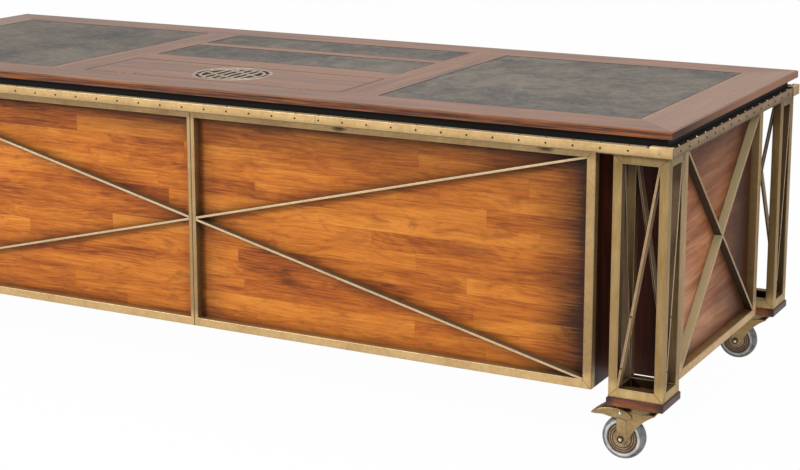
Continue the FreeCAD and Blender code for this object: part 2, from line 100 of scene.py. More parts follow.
def weighted(values, shares):
    parts = [times(value, share) for value, share in zip(values, shares)]
    return reduce(plus, parts)


def mixColours(factor, a, b):
    node = addNode(treeOf(factor, a, b), "Mix", {"data_type": "RGBA"})
    for name, value in (("Factor_Float", factor), ("A_Color", a), ("B_Color", b)):
        plugIn(next(s for s in node.inputs if s.identifier == name), value)
    return next(s for s in node.outputs if s.identifier == "Result_Color")


def tint(colour, mask, amount, tone):  # lays a tone over the colour where the mask is
    return mixColours(times(mask, amount), colour, tone)


def noise(vector, scale, detail=3.0, roughness=0.55, distortion=0.0):
    return addNode(vector.id_data, "TexNoise", Vector=vector, Scale=scale, Detail=detail,
                   Roughness=roughness, Distortion=distortion).outputs["Fac"]


def ragged(vector, amount, *settings):  # a noise that wanders evenly about zero
    return times(minus(noise(vector, *settings), 0.5), amount)


def stretched(vector, *scale):
    return addNode(vector.id_data, "Mapping", Vector=vector, Scale=scale).outputs[0]


def remap(value, low, high, toLow=0.0, toHigh=1.0):
    return addNode(value.id_data, "MapRange", Value=value, From_Min=low, From_Max=high,
                   To_Min=toLow, To_Max=toHigh).outputs[0]


def ramp(factor, v, **stops):  # stops say where each of the named tones stands
    node = addNode(factor.id_data, "ValToRGB", Fac=factor)
    points = node.color_ramp.elements
    while len(points) < len(stops):
        points.new(0.5)
    for point, (tone, position) in zip(points, stops.items()):
        point.position, point.color = position, hexColour(v[tone])
    return node.outputs[0]


def combine(x, y, z):
    return addNode(treeOf(x, y, z), "CombineXYZ", X=x, Y=y, Z=z).outputs[0]


def separate(vector):
    return addNode(vector.id_data, "SeparateXYZ", Vector=vector).outputs


def lengthOf(vector):
    node = addNode(vector.id_data, "VectorMath", {"operation": "LENGTH"}, Vector=vector)
    return node.outputs["Value"]


def axesOf(tree, order="XYZ", space="Object"):  # the desk's metres, or a piece's own 0 to 1 box
    parts = dict(zip("XYZ", separate(addNode(tree, "TexCoord").outputs[space])))
    return [parts[axis] for axis in order]


def faceNormal(near):  # of the tree that the socket near is in
    return separate(addNode(near.id_data, "NewGeometry").outputs["Normal"])


facing = {"up": 0.9, "end": 0.6, "flank": 0.5, "level": 0.4}  # limits for one part of a face's normal


def startGroup(name, **inputs):  # None marks a vector input
    tree = bpy.data.node_groups.new(name, "ShaderNodeTree")
    for label, value in inputs.items():
        kind = "NodeSocketVector" if value is None else "NodeSocketFloat"
        plugIn(tree.interface.new_socket(label, in_out="INPUT", socket_type=kind), value)
    return tree, tree.nodes.new("NodeGroupInput").outputs


def closeGroup(tree, **results):
    for label in results:
        kind = "NodeSocketVector" if label in ("Vector", "Normal") else "NodeSocketFloat"
        tree.interface.new_socket(label, in_out="OUTPUT", socket_type=kind)
    end = tree.nodes.new("NodeGroupOutput")
    for label, value in results.items():
        plugIn(end.inputs[label], value)
    return tree


def useGroup(tree, group, **inputs):
    return addNode(tree, "Group", {"node_tree": group}, **inputs).outputs


# shared effects; a noise is given by its scale, detail, roughness and distortion

grainValues = {
    "drift": (2.2, 2.0), "fine": (7.0, 0.74), "figure": (9.0, 5.0, 0.62, 1.6), "pores": (520.0, 2.0, 0.5),
    "poreRange": (0.6, 0.74), "knots": (24.0, 5.0, 0.66, 0.9), "knotRange": (0.54, 0.68),
    "drawnOut": {"fine": 0.03, "figure": 0.14, "pores": 0.07, "knots": 0.42}}


def buildWoodGrain():  # X runs along the grain
    v = grainValues
    tree, given = startGroup("woodGrain", Vector=None, Fineness=120.0, Wander=0.02)
    x, y, z = separate(given["Vector"])
    bend = ragged(given["Vector"], given["Wander"], *v["drift"])
    wavy = combine(x, plus(y, bend), plus(z, bend))
    drawn = {name: stretched(wavy, share, 1, 1) for name, share in v["drawnOut"].items()}
    pores, knots = [noise(drawn[name], *v[name]) for name in ("pores", "knots")]
    return closeGroup(tree, Grain=noise(drawn["fine"], given["Fineness"], *v["fine"]),
                      Figure=noise(drawn["figure"], *v["figure"]), Pores=remap(pores, *v["poreRange"]),
                      Knots=remap(knots, *v["knotRange"]))


staveValues = {"slide": 7.0, "jump": 9.0, "seam": (0.0003, 0.0009)}


def buildStaveLayout():  # glued staves: X along a stave, Y across the staves
    v = staveValues
    tree, given = startGroup("staveLayout", Vector=None, Stave=0.04, Board=0.5, Seed=0.0)
    x, y, z = separate(given["Vector"])
    across = divide(y, given["Stave"])
    row = plus(sums("FLOOR", across), given["Seed"])
    slide = addNode(tree, "TexWhiteNoise", {"noise_dimensions": "1D"}, W=row).outputs[0]
    along = timesPlus(slide, v["slide"], divide(x, given["Board"]))
    tone = addNode(tree, "TexWhiteNoise", {"noise_dimensions": "2D"},
                   Vector=combine(row, sums("FLOOR", along), 0.0)).outputs[0]
    edges = []
    for cells, width in ((across, given["Stave"]), (along, given["Board"])):
        part = sums("FRACT", cells)
        edges.append(remap(times(smaller(part, minus(1.0, part)), width), *v["seam"], 1.0, 0.0))
    jump = times(tone, v["jump"])
    return closeGroup(tree, Vector=combine(plus(x, jump), y, plus(z, jump)), Tone=tone, Seam=larger(*edges))


edgeShadeAndBurnishValues = {
    "lowSlope": 2.2, "lowStart": 0.1, "highStart": 0.04, "ragged": (0.12, 5.0, 5.0), "full": 0.03,
    "fade": 1.2}


def buildEdgeShadeAndBurnish():  # darker edges of a panel, painted shade and rubbed burnish, from its own 0 to 1 box
    v = edgeShadeAndBurnishValues
    tree, given = startGroup("edgeShadeAndBurnish", Vector=None, Width=1.0, Height=0.5, Reach=0.06, Left=0.0,
                             Right=0.0)
    x, y, _ = separate(given["Vector"])
    left = timesPlus(x, given["Width"], given["Left"])
    right = timesPlus(minus(1.0, x), given["Width"], given["Right"])
    low = timesPlus(times(y, given["Height"]), v["lowSlope"], v["lowStart"])
    high = timesPlus(minus(1.0, y), given["Height"], v["highStart"])
    edge = plus(smaller(smaller(left, right), smaller(low, high)), ragged(given["Vector"], *v["ragged"]))
    return closeGroup(tree, Mask=sums("POWER", remap(edge, v["full"], given["Reach"], 1.0, 0.0), v["fade"]))


patinaValues = {
    "broad": (11.0, 5.0, 0.62, 0.6), "spots": (99.0, 3.0, 0.6), "scuffs": (420.0, 3.0, 0.7),
    "shares": (0.6, 0.4), "range": (0.3, 0.72), "relief": 0.5}


def buildBrassPatina():
    v = patinaValues
    tree, given = startGroup("brassPatina", Vector=None)
    broad, spots, scuffs = [noise(given["Vector"], *v[name]) for name in ("broad", "spots", "scuffs")]
    tarnish = remap(weighted((broad, spots), v["shares"]), *v["range"])
    return closeGroup(tree, Tarnish=tarnish, Scuffs=scuffs, Height=plus(times(spots, v["relief"]), scuffs))


sharpEdgeValues = {"samples": 6, "range": (0.98, 0.8)}


def buildSharpEdges():  # finds sharp edges and rounds them in the light
    v = sharpEdgeValues
    tree, given = startGroup("sharpEdges", Radius=0.001)
    rounded = addNode(tree, "Bevel", {"samples": v["samples"]}, Radius=given["Radius"]).outputs[0]
    dot = addNode(tree, "VectorMath", {"operation": "DOT_PRODUCT"})
    plugIn(dot.inputs[0], rounded)
    plugIn(dot.inputs[1], addNode(tree, "NewGeometry").outputs["Normal"])
    return closeGroup(tree, Edge=remap(dot.outputs["Value"], *v["range"]), Normal=rounded)


grimeValues = {"samples": 8, "ragged": (0.18, 30.0, 4.0), "range": (0.35, 0.92)}


def buildRecessShadeAndGrime():  # painted shade and dirt where other faces stand close by
    v = grimeValues
    tree, given = startGroup("recessShadeAndGrime", Vector=None, Distance=0.05)
    nearby = addNode(tree, "AmbientOcclusion", {"samples": v["samples"]}, Distance=given["Distance"])
    openness = plus(nearby.outputs["AO"], ragged(given["Vector"], *v["ragged"]))
    return closeGroup(tree, Mask=remap(openness, *v["range"], 1.0, 0.0))


woodGrain, staveLayout, edgeShadeAndBurnish = buildWoodGrain(), buildStaveLayout(), buildEdgeShadeAndBurnish()
brassPatina, sharpEdges, recessShadeAndGrime = buildBrassPatina(), buildSharpEdges(), buildRecessShadeAndGrime()
print("shared node groups made")


# materials

socketNames = {
    "colour": "Base Color", "rough": "Roughness", "metallic": "Metallic", "coat": "Coat Weight",
    "coatRough": "Coat Roughness", "specular": "Specular IOR Level"}


def newMaterial(name, v):  # returns the material, its tree and its Principled sockets
    material = bpy.data.materials.new(name)
    material.use_nodes = True
    sockets = material.node_tree.nodes["Principled BSDF"].inputs
    for key, socket in socketNames.items():
        if key in v:
            sockets[socket].default_value = v[key]
    return material, material.node_tree, sockets


def surface(sockets, colour, height, strength, distance, normal=None):  # the colour and the bump
    plugIn(sockets["Base Color"], colour)
    plugIn(sockets["Normal"], addNode(height.id_data, "Bump", Height=height, Strength=strength,
                                      Distance=distance, Normal=normal).outputs[0])


def objectVector(tree, order="XYZ"):
    return combine(*axesOf(tree, order))


def edgeTinted(colour, radius, amount, tone):  # returns the colour and the rounded normal
    edgeTint = useGroup(colour.id_data, sharpEdges, Radius=radius)
    return tint(colour, edgeTint["Edge"], amount, tone), edgeTint["Normal"]


# painted shade and grime: darkens the colour where other faces stand close by
def grimed(colour, v, tone):
    tree = colour.id_data
    grime = useGroup(tree, recessShadeAndGrime, Vector=objectVector(tree), Distance=v["grimeReach"])
    return tint(colour, grime["Mask"], v["grime"], tone)


def grainOf(tree, v, vector):
    return useGroup(tree, woodGrain, Vector=vector, Fineness=v["fineness"], Wander=v["wander"])


def stavesOf(tree, v, vector):
    return useGroup(tree, staveLayout, Vector=vector, Stave=v["stave"], Board=v["board"], Seed=v["seed"])


topValues = {
    "light": "9a6438", "mid": "774620", "dark": "3d200e", "leatherX": 1.129, "fieldY": 0.361,
    "stileOuter": 0.477, "stileInner": 0.371, "coat": 0.38, "coatRough": 0.22, "rough": 0.42,
    "specular": 0.45, "mattRough": 0.75, "stave": 0.057, "board": 0.9, "seed": 3.0, "fineness": 95.0,
    "wander": 0.02, "shares": (0.55, 0.35, 0.07), "pores": 0.5, "mitreShare": 0.7, "rimStretch": 1.6,
    "poreTone": "2a120a", "mitre": (0.0003, 0.001), "mitreTone": "1c0d07", "rimFineness": 150.0,
    "edgeBright": "8a4c1d", "edgeLight": "603214", "edgeDark": "281106", "edgePale": "a87a60",
    "endRange": (-0.42, 0.1), "endFaceShadeShare": 0.75, "pocketZ": 0.7612, "pocketFloorShade": "1b110c", "arris": "452412",
    "arrisRadius": 0.0025, "arrisWear": 0.6, "relief": (0.06, 0.0005), "boardSheen": "b89478", "boardSheenShare": 0.22}


def topWood():
    v = topValues
    material, tree, sockets = newMaterial("topWood", v)
    x, y, z = axesOf(tree)
    overX, overY = minus(size(x), v["leatherX"]), minus(size(y), v["fieldY"])
    beyond = isAbove(overX, 0.0)
    mitre = times(remap(size(minus(overX, overY)), *v["mitre"], 1.0, 0.0), beyond)
    stile = sums("COMPARE", size(x), (v["stileOuter"] + v["stileInner"]) / 2,
                 (v["stileOuter"] - v["stileInner"]) / 2)
    endBoard = times(isAbove(overX, overY), beyond)
    turn = larger(endBoard, times(stile, isBelow(overY, 0.0)))  # boards that run in Y
    along, across = plus(x, times(turn, minus(y, x))), plus(y, times(turn, minus(x, y)))
    board = stavesOf(tree, v, combine(along, across, z))
    grain = grainOf(tree, v, board["Vector"])
    tone = weighted((grain["Grain"], grain["Figure"], board["Tone"]), v["shares"])
    colour = ramp(tone, v, dark=0.32, mid=0.48, light=0.64)
    # painted sheen: the end boards are paler
    colour = tint(colour, endBoard, v["boardSheenShare"], v["boardSheen"])
    colour = tint(colour, grain["Pores"], v["pores"], v["poreTone"])
    colour = tint(colour, mitre, v["mitreShare"], v["mitreTone"])
    faceX, _, faceZ = faceNormal(colour)
    side = isBelow(size(faceZ), facing["level"])
    rimGrain = useGroup(tree, woodGrain, Vector=combine(along, across, times(z, v["rimStretch"])),
                        Fineness=v["rimFineness"])
    edge = ramp(rimGrain["Grain"], v, edgeDark=0.4, edgeLight=0.5, edgeBright=0.6)
    # painted shade: the top's end faces are darker, paler towards the rear
    endFaceShade = mixColours(remap(y, *v["endRange"]), v["edgeDark"], v["edgePale"])
    edge = tint(edge, isAbove(size(faceX), facing["end"]), v["endFaceShadeShare"], endFaceShade)
    colour = mixColours(side, colour, edge)
    # painted shade: the floor of the medallion's pocket is near black and matt
    sunk = times(isBelow(z, v["pocketZ"]), isAbove(faceZ, facing["up"]))
    colour = mixColours(sunk, colour, v["pocketFloorShade"])
    matt = larger(side, sunk)
    plugIn(sockets["Coat Weight"], remap(matt, 0.0, 1.0, v["coat"], 0.0))
    plugIn(sockets["Roughness"], remap(matt, 0.0, 1.0, v["rough"], v["mattRough"]))
    colour, normal = edgeTinted(colour, v["arrisRadius"], v["arrisWear"], v["arris"])
    surface(sockets, colour, grain["Grain"], *v["relief"], normal)
    return material


panelValues = {
    "bright": "cf8230", "light": "b96a20", "mid": "9a4e16", "dark": "64300e", "burnt": "2a1208",
    "width": 1.059, "height": 0.5475, "stave": 0.041, "board": 0.62, "fineness": 250.0, "wander": 0.05,
    "reach": 0.17, "rough": 0.5, "coat": 0.03, "coatRough": 0.3, "seam": 0.3, "specular": 0.2, "grime": 0.7,
    "grimeReach": 0.06, "streaks": (0.36, 0.62, 1.2, 0.88), "edgeDarkening": 0.97, "rise": 1.6,
    "riseRange": (1.2, 2.6), "shares": (0.52, 0.48, 0.09), "knots": 0.45, "pores": 0.4,
    "relief": (0.05, 0.0005)}
panels = {"right": {"seed": 11.0, "left": 0.075, "right": 0.0, "shade": 0.4},
          "left": {"seed": 47.0, "left": 0.0, "right": 0.5, "shade": 0.0}}


def panelWood(side):
    v = dict(panelValues, **panels[side])
    material, tree, sockets = newMaterial(f"frontPanel{side.title()}", v)
    board = stavesOf(tree, v, objectVector(tree, "XZY"))
    grain = grainOf(tree, v, board["Vector"])
    tone = weighted((grain["Grain"], grain["Figure"], minus(board["Tone"], 0.5)), v["shares"])
    colour = ramp(tone, v, dark=0.35, mid=0.43, light=0.52, bright=0.63)
    colour = tint(colour, grain["Knots"], v["knots"], v["dark"])
    colour = tint(colour, grain["Pores"], v["pores"], v["dark"])
    colour = tint(colour, board["Seam"], v["seam"], v["burnt"])
    own = axesOf(tree, "XZY", "Generated")
    rise = plus(own[0], times(own[1], v["rise"]))  # painted shade, darker towards the upper right corner
    colour = mixColours(remap(rise, *v["riseRange"], 0.0, v["shade"]), colour, v["dark"])
    # painted shade and rubbed burnish darken the panel's edges, most at the top and the outer side
    shadeAndBurnish = useGroup(tree, edgeShadeAndBurnish, Vector=combine(*own), Width=v["width"], Height=v["height"],
                       Reach=v["reach"], Left=v["left"], Right=v["right"])
    burnt = times(shadeAndBurnish["Mask"], remap(grain["Grain"], *v["streaks"]), clamp=True)
    colour = tint(colour, burnt, v["edgeDarkening"], v["burnt"])
    # painted shade and grime where the frame and the bars stand close to the panel
    surface(sockets, grimed(colour, v, v["burnt"]), grain["Grain"], *v["relief"])
    return material


woodValues = {
    "rough": 0.45, "coat": 0.0, "coatRough": 0.2, "specular": 0.3, "fineness": 85.0, "wander": 0.05,
    "grain": 0.45, "figure": 0.5, "pores": 0.5, "edgeTint": 0.4, "edgeTintRadius": 0.0025, "shadeAndBurnish": 0.0,
    "ends": 0.0, "grime": 0.0, "grimeReach": 0.09, "relief": (0.06, 0.0006)}
woods = {
    "endWood": {
        "order": "YZX", "light": "c88860", "mid": "965a38", "dark": "56301b", "specular": 0.08, "figure": 0.6,
        "grime": 0.8, "reach": 0.3, "left": 0.5, "right": -0.07, "burnt": "34170a", "shadeAndBurnish": 0.95,
        "paintedSheen": "d8b496", "sheenRange": (0.15, 0.75, 0.4, 0.0)},
    "caseWood": {
        "order": "ZYX", "light": "6a2a12", "mid": "3e1708", "dark": "1c0a04", "rough": 0.5, "specular": 0.25},
    "plinthWood": {
        "order": "XYZ", "light": "96542c", "mid": "502614", "dark": "20100a", "coat": 0.1, "figure": 0.65,
        "ends": 0.75, "endRange": (0.052, 0.068), "endWander": 0.02},
    "drawerWood": {
        "order": "XZY", "light": "c4722c", "mid": "a0531d", "dark": "5c2810", "coat": 0.1, "specular": 0.4},
    "deckWood": {"order": "XYZ", "light": "7a4a2c", "mid": "5a3320", "dark": "2c180f", "rough": 0.6}}


def plainWood(name):
    v = dict(woodValues, **woods[name])
    material, tree, sockets = newMaterial(name, v)
    grain = grainOf(tree, v, objectVector(tree, v["order"]))
    tone = weighted((grain["Grain"], grain["Figure"]), (v["grain"], v["figure"]))
    colour = ramp(tone, v, dark=0.34, mid=0.47, light=0.62)
    colour = tint(colour, grain["Pores"], v["pores"], v["dark"])
    colour, normal = edgeTinted(colour, v["edgeTintRadius"], v["edgeTint"], v["dark"])
    if v["shadeAndBurnish"]:  # painted shade and burnish: the end panels darken towards the rear and the head, and a painted sheen lightens their lower front
        low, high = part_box("end_panel_right")
        own = axesOf(tree, "YZX", "Generated")
        shadeAndBurnish = useGroup(tree, edgeShadeAndBurnish, Vector=combine(*own), Width=high.y - low.y,
                           Height=high.z - low.z, Reach=v["reach"], Left=v["left"], Right=v["right"])
        colour = mixColours(remap(plus(own[0], own[1]), *v["sheenRange"]), colour, v["paintedSheen"])
        colour = tint(colour, shadeAndBurnish["Mask"], v["shadeAndBurnish"], v["burnt"])
    if v["ends"]:  # the plinths are darkest near their ends
        away = size(minus(size(axesOf(tree)[0]), towerCentre.x))
        away = plus(away, times(grain["Figure"], v["endWander"]))
        colour = mixColours(remap(away, *v["endRange"], 0.0, v["ends"]), colour, v["dark"])
    # painted shade and grime where other faces stand close by
    if v["grime"]:
        colour = grimed(colour, v, v["dark"])
    surface(sockets, colour, grain["Grain"], *v["relief"], normal)
    return material


leatherValues = {
    "light": "6b6052", "dark": "26201a", "roughRange": (0.4, 0.62), "pebble": 900.0, "specular": 0.6,
    "clouds": (16.0, 6.0, 0.65, 0.8), "broad": (3.5, 3.0, 0.6), "fine": (90.0, 4.0, 0.7),
    "shares": (0.45, 0.25, 0.3), "cloudRange": (0.35, 0.65), "relief": (0.12, 0.0004)}


def leather():
    v = leatherValues
    material, tree, sockets = newMaterial("deskLeather", v)
    vector = objectVector(tree)
    clouds, broad, fine = [noise(vector, *v[name]) for name in ("clouds", "broad", "fine")]
    mottle = weighted((clouds, broad, fine), v["shares"])
    plugIn(sockets["Roughness"], remap(clouds, *v["cloudRange"], *v["roughRange"]))
    cells = addNode(tree, "TexVoronoi", Vector=vector, Scale=v["pebble"]).outputs["Distance"]
    surface(sockets, ramp(mottle, v, dark=0.42, light=0.58), cells, *v["relief"])
    return material


railBox = {"x": 1.245, "y": 0.477, "flangeZ": 0.724, "skirtZ": 0.702}
brassValues = {
    "bright": "dcbb85", "mid": "b08d5c", "dark": "624526", "edge": "f4e2bc", "sootAndShade": "2e1d0d", "rough": 0.42,
    "roughSpread": 0.12, "metallic": 0.8, "tarnish": 0.45, "scuffs": (0.58, 0.8), "streak": 1.0,
    "grime": 0.5, "grimeReach": 0.045, "edgeTint": 0.75, "edgeTintRadius": 0.0018, "rim": 0.0, "rimRadius": 0.007,
    "posts": (0.18, 0.7), "postFade": 0.02, "shade": (0.5, 0.25), "skirt": 0.0, "skirtFade": 0.013,
    "line": (0.0014, 0.0022, 0.85, 0.0), "ledge": 0.0, "ledgeTone": "f4e2bc", "ledgeMetal": 0.2,
    "inner": 0.0, "innerGap": 0.0008, "behind": 0.0, "faceDepth": 0.022, "head": (0.6, 0.705),
    "headShade": 0.0, "up": None, "upRange": (0.15, 0.6), "down": (0.97, "2e1d0d"),
    "downRange": (-0.1, -0.5), "scorch": (), "scorchSize": (0.026, 0.008),
    "scorchRange": (0.8, 1.5, 0.85, 0.0), "relief": (0.05, 0.0002)}


def postShade(sockets, v, colour, place):  # painted shade: upright tubes are browner than rails, most near their feet
    z, (low, high) = place[2], v["posts"]
    upright = times(remap(z, low, low + v["postFade"]), remap(z, high, high - v["postFade"]))
    return tint(colour, upright, remap(z, low, high, *v["shade"]), v["dark"])


# painted shade and soot where other faces stand close by
def recessShadeAndSoot(sockets, v, colour, place):
    return grimed(colour, v, v["sootAndShade"])


def railShade(sockets, v, colour, place):  # painted shade: a rail is darkest along its lower edge, with a painted shadow line there; its ledge gets the ledge tone, a painted highlight on the long rails and a painted shade on the end rails
    height = minus(place[2], railBox["skirtZ"])
    colour = mixColours(remap(height, 0.0, v["skirtFade"], v["skirt"], 0.0), colour, v["dark"])
    colour = mixColours(remap(height, *v["line"]), colour, v["sootAndShade"])
    ledge = isAbove(faceNormal(colour)[2], facing["up"])
    plugIn(sockets["Metallic"], remap(ledge, 0.0, 1.0, v["metallic"], v["ledgeMetal"]))
    return tint(colour, ledge, v["ledge"], v["ledgeTone"])


def innerShade(sockets, v, colour, place):  # painted shade: faces inside a tower are darker than its four outer ones
    inside = [isBelow(size(minus(size(part), middle)), half - v["innerGap"])
              for part, middle, half in zip(place[:2], towerCentre, towerHalf)]
    return tint(colour, times(*inside), v["inner"], v["sootAndShade"])


def braceShade(sockets, v, colour, place):  # painted shade on braces towards the middle, and on flanks of the end ones
    past = [minus(size(part), middle + half - v["faceDepth"])
            for part, middle, half in zip(place[:2], towerCentre, towerHalf)]
    hidden = times(isBelow(past[0], 0.0), isBelow(past[1], 0.0))
    flank = times(isAbove(past[0], 0.0), isBelow(size(faceNormal(colour)[0]), facing["flank"]))
    return tint(colour, larger(hidden, flank), v["behind"], v["sootAndShade"])


def headShadow(sockets, v, colour, place):  # painted shadow below the rails
    return mixColours(remap(place[2], *v["head"], 0.0, v["headShade"]), colour, v["sootAndShade"])


def barFaces(sockets, v, colour, place):  # painted light and shade: one tone on faces that look up, a dark one on faces that look down
    upward = faceNormal(colour)[2]
    for (amount, tone), limits in ((v["up"], v["upRange"]), (v["down"], v["downRange"])):
        colour = mixColours(remap(upward, *limits, 0.0, amount), colour, tone)
    plugIn(sockets["Metallic"], remap(upward, *v["downRange"], v["metallic"], 0.0))
    return colour


def scorchMarks(sockets, v, colour, place):  # small dark stains left by the welding, on the visitor's side
    scuffs = useGroup(colour.id_data, brassPatina, Vector=combine(*place))["Scuffs"]
    for markX, markZ in v["scorch"]:
        wide, tall = v["scorchSize"]
        away = combine(divide(minus(place[0], markX), wide), 0.0, divide(minus(place[2], markZ), tall))
        mark = remap(plus(lengthOf(away), scuffs), *v["scorchRange"])
        colour = tint(colour, mark, isBelow(place[1], 0.0), v["sootAndShade"])
    return colour


def rimShade(sockets, v, colour, place):  # painted shade: each tube face darkens towards its edges, leaving a painted highlight along its middle
    return edgeTinted(colour, v["rimRadius"], v["rim"], v["dark"])[0]


brassEffects = {"shade": postShade, "grime": recessShadeAndSoot, "skirt": railShade, "inner": innerShade,
                "behind": braceShade, "headShade": headShadow, "up": barFaces, "scorch": scorchMarks,
                "rim": rimShade}  # in the order in which they are laid on


def brass(name="agedBrass", **changes):
    v = dict(brassValues, **changes)
    material, tree, sockets = newMaterial(name, v)
    place = axesOf(tree)
    patina = useGroup(tree, brassPatina, Vector=stretched(combine(*place), 1, 1, v["streak"]))
    colour = mixColours(patina["Tarnish"], v["bright"], v["mid"])
    colour = mixColours(remap(patina["Scuffs"], *v["scuffs"], 0.0, v["tarnish"]), colour, v["dark"])
    for key, effect in brassEffects.items():
        if v[key]:
            colour = effect(sockets, v, colour, place)
    # painted highlight and wear: the edge tone lies bright along sharp edges
    colour, normal = edgeTinted(colour, v["edgeTintRadius"], v["edgeTint"], v["edge"])
    rough = remap(patina["Tarnish"], 0.0, 1.0, v["rough"], v["rough"] + v["roughSpread"])
    plugIn(sockets["Roughness"], rough)
    surface(sockets, colour, patina["Height"], *v["relief"], normal)
    return material


bandValues = {
    "dark": "050403", "light": "0f0d0b", "rough": 0.5, "specular": 0.12, "streak": (60.0, 4.0),
    "drawnOut": (0.1, 0.1, 1), "relief": (0.05, 0.0004)}


def satinBlack():
    v = bandValues
    material, tree, sockets = newMaterial("ebonisedBand", v)
    streak = noise(stretched(objectVector(tree), *v["drawnOut"]), *v["streak"])
    surface(sockets, ramp(streak, v, dark=0.3, light=0.7), streak, *v["relief"])
    return material


mottledKeys = ("light", "dark", "metallic", "rough", "speckle")
mottledValues = {"specks": (5.0, 0.6), "relief": (0.08, 0.0003)}
finishes = {
    "tyreRubber": ("7c7e7c", "464846", 0.0, 0.55, 60.0),
    # light grey lips on the tyre's sides, a painted highlight
    "tyreLipHighlight": ("c6c6c2", "9a9b98", 0.0, 0.5, 60.0),
    "turnedDisc": ("a58a6c", "7c6248", 0.3, 0.5, 70.0),
    "grooveShade": ("4a3626", "2c1e12", 0.0, 0.7, 60.0),
    "hingeBronze": ("946a4c", "724c34", 0.0, 0.4, 90.0),
    "pocketShadow": ("171210", "0c0908", 0.0, 1.0, 60.0),
    "brightSteel": ("e4ddcc", "a89c84", 0.9, 0.28, 200.0),
    "jointShadow": ("4a3620", "2e2012", 0.3, 0.7, 150.0),
}


def mottled(name):  # small parts whose colour only wanders between two tones
    v = dict(mottledValues, **dict(zip(mottledKeys, finishes[name])))
    material, tree, sockets = newMaterial(name, v)
    grime = noise(objectVector(tree), v["speckle"], *v["specks"])
    surface(sockets, ramp(grime, v, dark=0.34, light=0.62), grime, *v["relief"])
    return material


def dress(material, *patterns):  # puts one material on the CAD nodes that the patterns name
    for name in [name for pattern in patterns for name in matching(nodes, pattern)]:
        nodes[name].data.materials.clear()
        nodes[name].data.materials.append(material)


agedBrass = brass(rim=0.4)
railBrass = brass("railBrass", shade=None, ledge=0.5, skirt=0.4, grime=0.4)
darkBrass = brass("darkBrass", bright="4a3a22", mid="302412", dark="181009", edge="8a7040", shade=None,
                  grime=0)
casterBrass = brass("casterBrass", bright="b99c6e", mid="7c6238", dark="3c2a14", shade=None, grime=0.85,
                    grimeReach=0.02, streak=3.0, tarnish=0.75)
medallionMetal = brass("medallionMetal", bright="c4b09c", mid="8e7a68", dark="4a3e34", edge="dccdb6",
                       shade=None, grime=0.6, grimeReach=0.005)
rubber, lipHighlight, discMetal, grooveShade = [mottled(name) for name in list(finishes)[:4]]
hingeBronze, pocketShadow, brightSteel, jointShadow = [mottled(name) for name in list(finishes)[4:]]
dress(topWood(), "top_frame", "lid")
dress(leather(), "leather_*")
dress(satinBlack(), "band")
for side in panels:
    dress(panelWood(side), f"front_panel_{side}")
for wood, pattern in (("deckWood", "deck"), ("plinthWood", "plinths"), ("caseWood", "case_*"),
                      ("endWood", "end_panel_*"), ("drawerWood", "drawer_*")):
    dress(plainWood(wood), pattern)
dress(agedBrass, "pull_*", "end_frame_*", "rear_frame_*")
dress(railBrass, "rail_front", "rail_rear", "corner_caps")
# the end rails get a darker copy of the rail brass, a painted shade, and near-black ledges, also painted
# shade
dress(brass("endRailBrass", bright="b4946e", mid="866a4c", dark="463220", edge="d8c4a2", shade=None,
            ledge=0.9, ledgeTone="1c150d", skirt=0.5, grime=0.4), "rail_left", "rail_right")
dress(brass("frameBrass", rim=0.4, scorch=((0.418, 0.691), (0.941, 0.693))), "front_frame_*")
dress(brass("towerBrass", bright="d2b27c", mid="94783f", grime=0.95, grimeReach=0.1, streak=0.2, inner=0.5,
            headShade=0.42, rim=0.5), "tower_*_*")
# up: painted shade on the long bars' upward faces, a painted highlight on the end bars' upward faces;
# downward faces get painted shade
dress(brass("longBarBrass", bright="d2b48c", mid="a88a64", dark="5c4428", metallic=0.35, shade=None,
            grime=0.5, grimeReach=0.02, up=(0.75, "4c3a22")), "front_braces")
dress(brass("endBarBrass", bright="b89a70", mid="86683e", dark="463219", metallic=0.35, shade=None,
            grime=0.7, grimeReach=0.03, up=(0.7, "dccfa2")), "end_braces")
dress(brass("towerBarBrass", bright="cfa97e", mid="8c6a44", metallic=0.4, grime=0.6, grimeReach=0.03,
            behind=0.75, headShade=0.4), "tower_braces")
dress(casterBrass, "caster_plates", "fork_*", "pedal_*")
dress(hingeBronze, "hinge_*")
dress(medallionMetal, "lid_medallion")
dress(rubber, "tyre_*")
dress(discMetal, "wheel_*")
print("materials on every CAD node")


# helpers for meshes

def addToScene(name, data):
    thing = bpy.data.objects.new(name, data)
    bpy.context.scene.collection.objects.link(thing)
    return thing


sharpFrom = {"bevel": 0.7, "shading": math.radians(34)}  # angles between two faces


def newPiece(name, mesh, material, body, replaced=(), soften=0.0):
    bmesh.ops.recalc_face_normals(mesh, faces=mesh.faces)
    if soften:
        sharp = [edge for edge in mesh.edges
                 if edge.is_manifold and edge.calc_face_angle(0) > sharpFrom["bevel"]]
        bmesh.ops.bevel(mesh, geom=sharp, offset=soften, segments=2, profile=0.5, affect="EDGES")
    data = bpy.data.meshes.new(name)
    mesh.to_mesh(data)
    mesh.free()
    data.polygons.foreach_set("use_smooth", [True] * len(data.polygons))
    data.set_sharp_from_angle(angle=sharpFrom["shading"])
    data.materials.append(material)
    piece = addToScene(name, data)
    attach(piece, body)
    if replaced:
        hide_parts(*replaced)


def joinRows(mesh, low, high, around=True):  # four-sided faces between two rows of vertices
    for i in range(len(low) if around else len(low) - 1):
        j = (i + 1) % len(low)
        mesh.faces.new((low[i], low[j], high[j], high[i]))


def addLoft(mesh, loops, closed=False):  # loops of equal length, joined one to the next
    rows = [[mesh.verts.new(point) for point in loop] for loop in loops]
    for low, high in zip(rows, rows[1:] + (rows[:1] if closed else [])):
        joinRows(mesh, low, high)
    if not closed:
        mesh.faces.new(rows[0])
        mesh.faces.new(rows[-1])


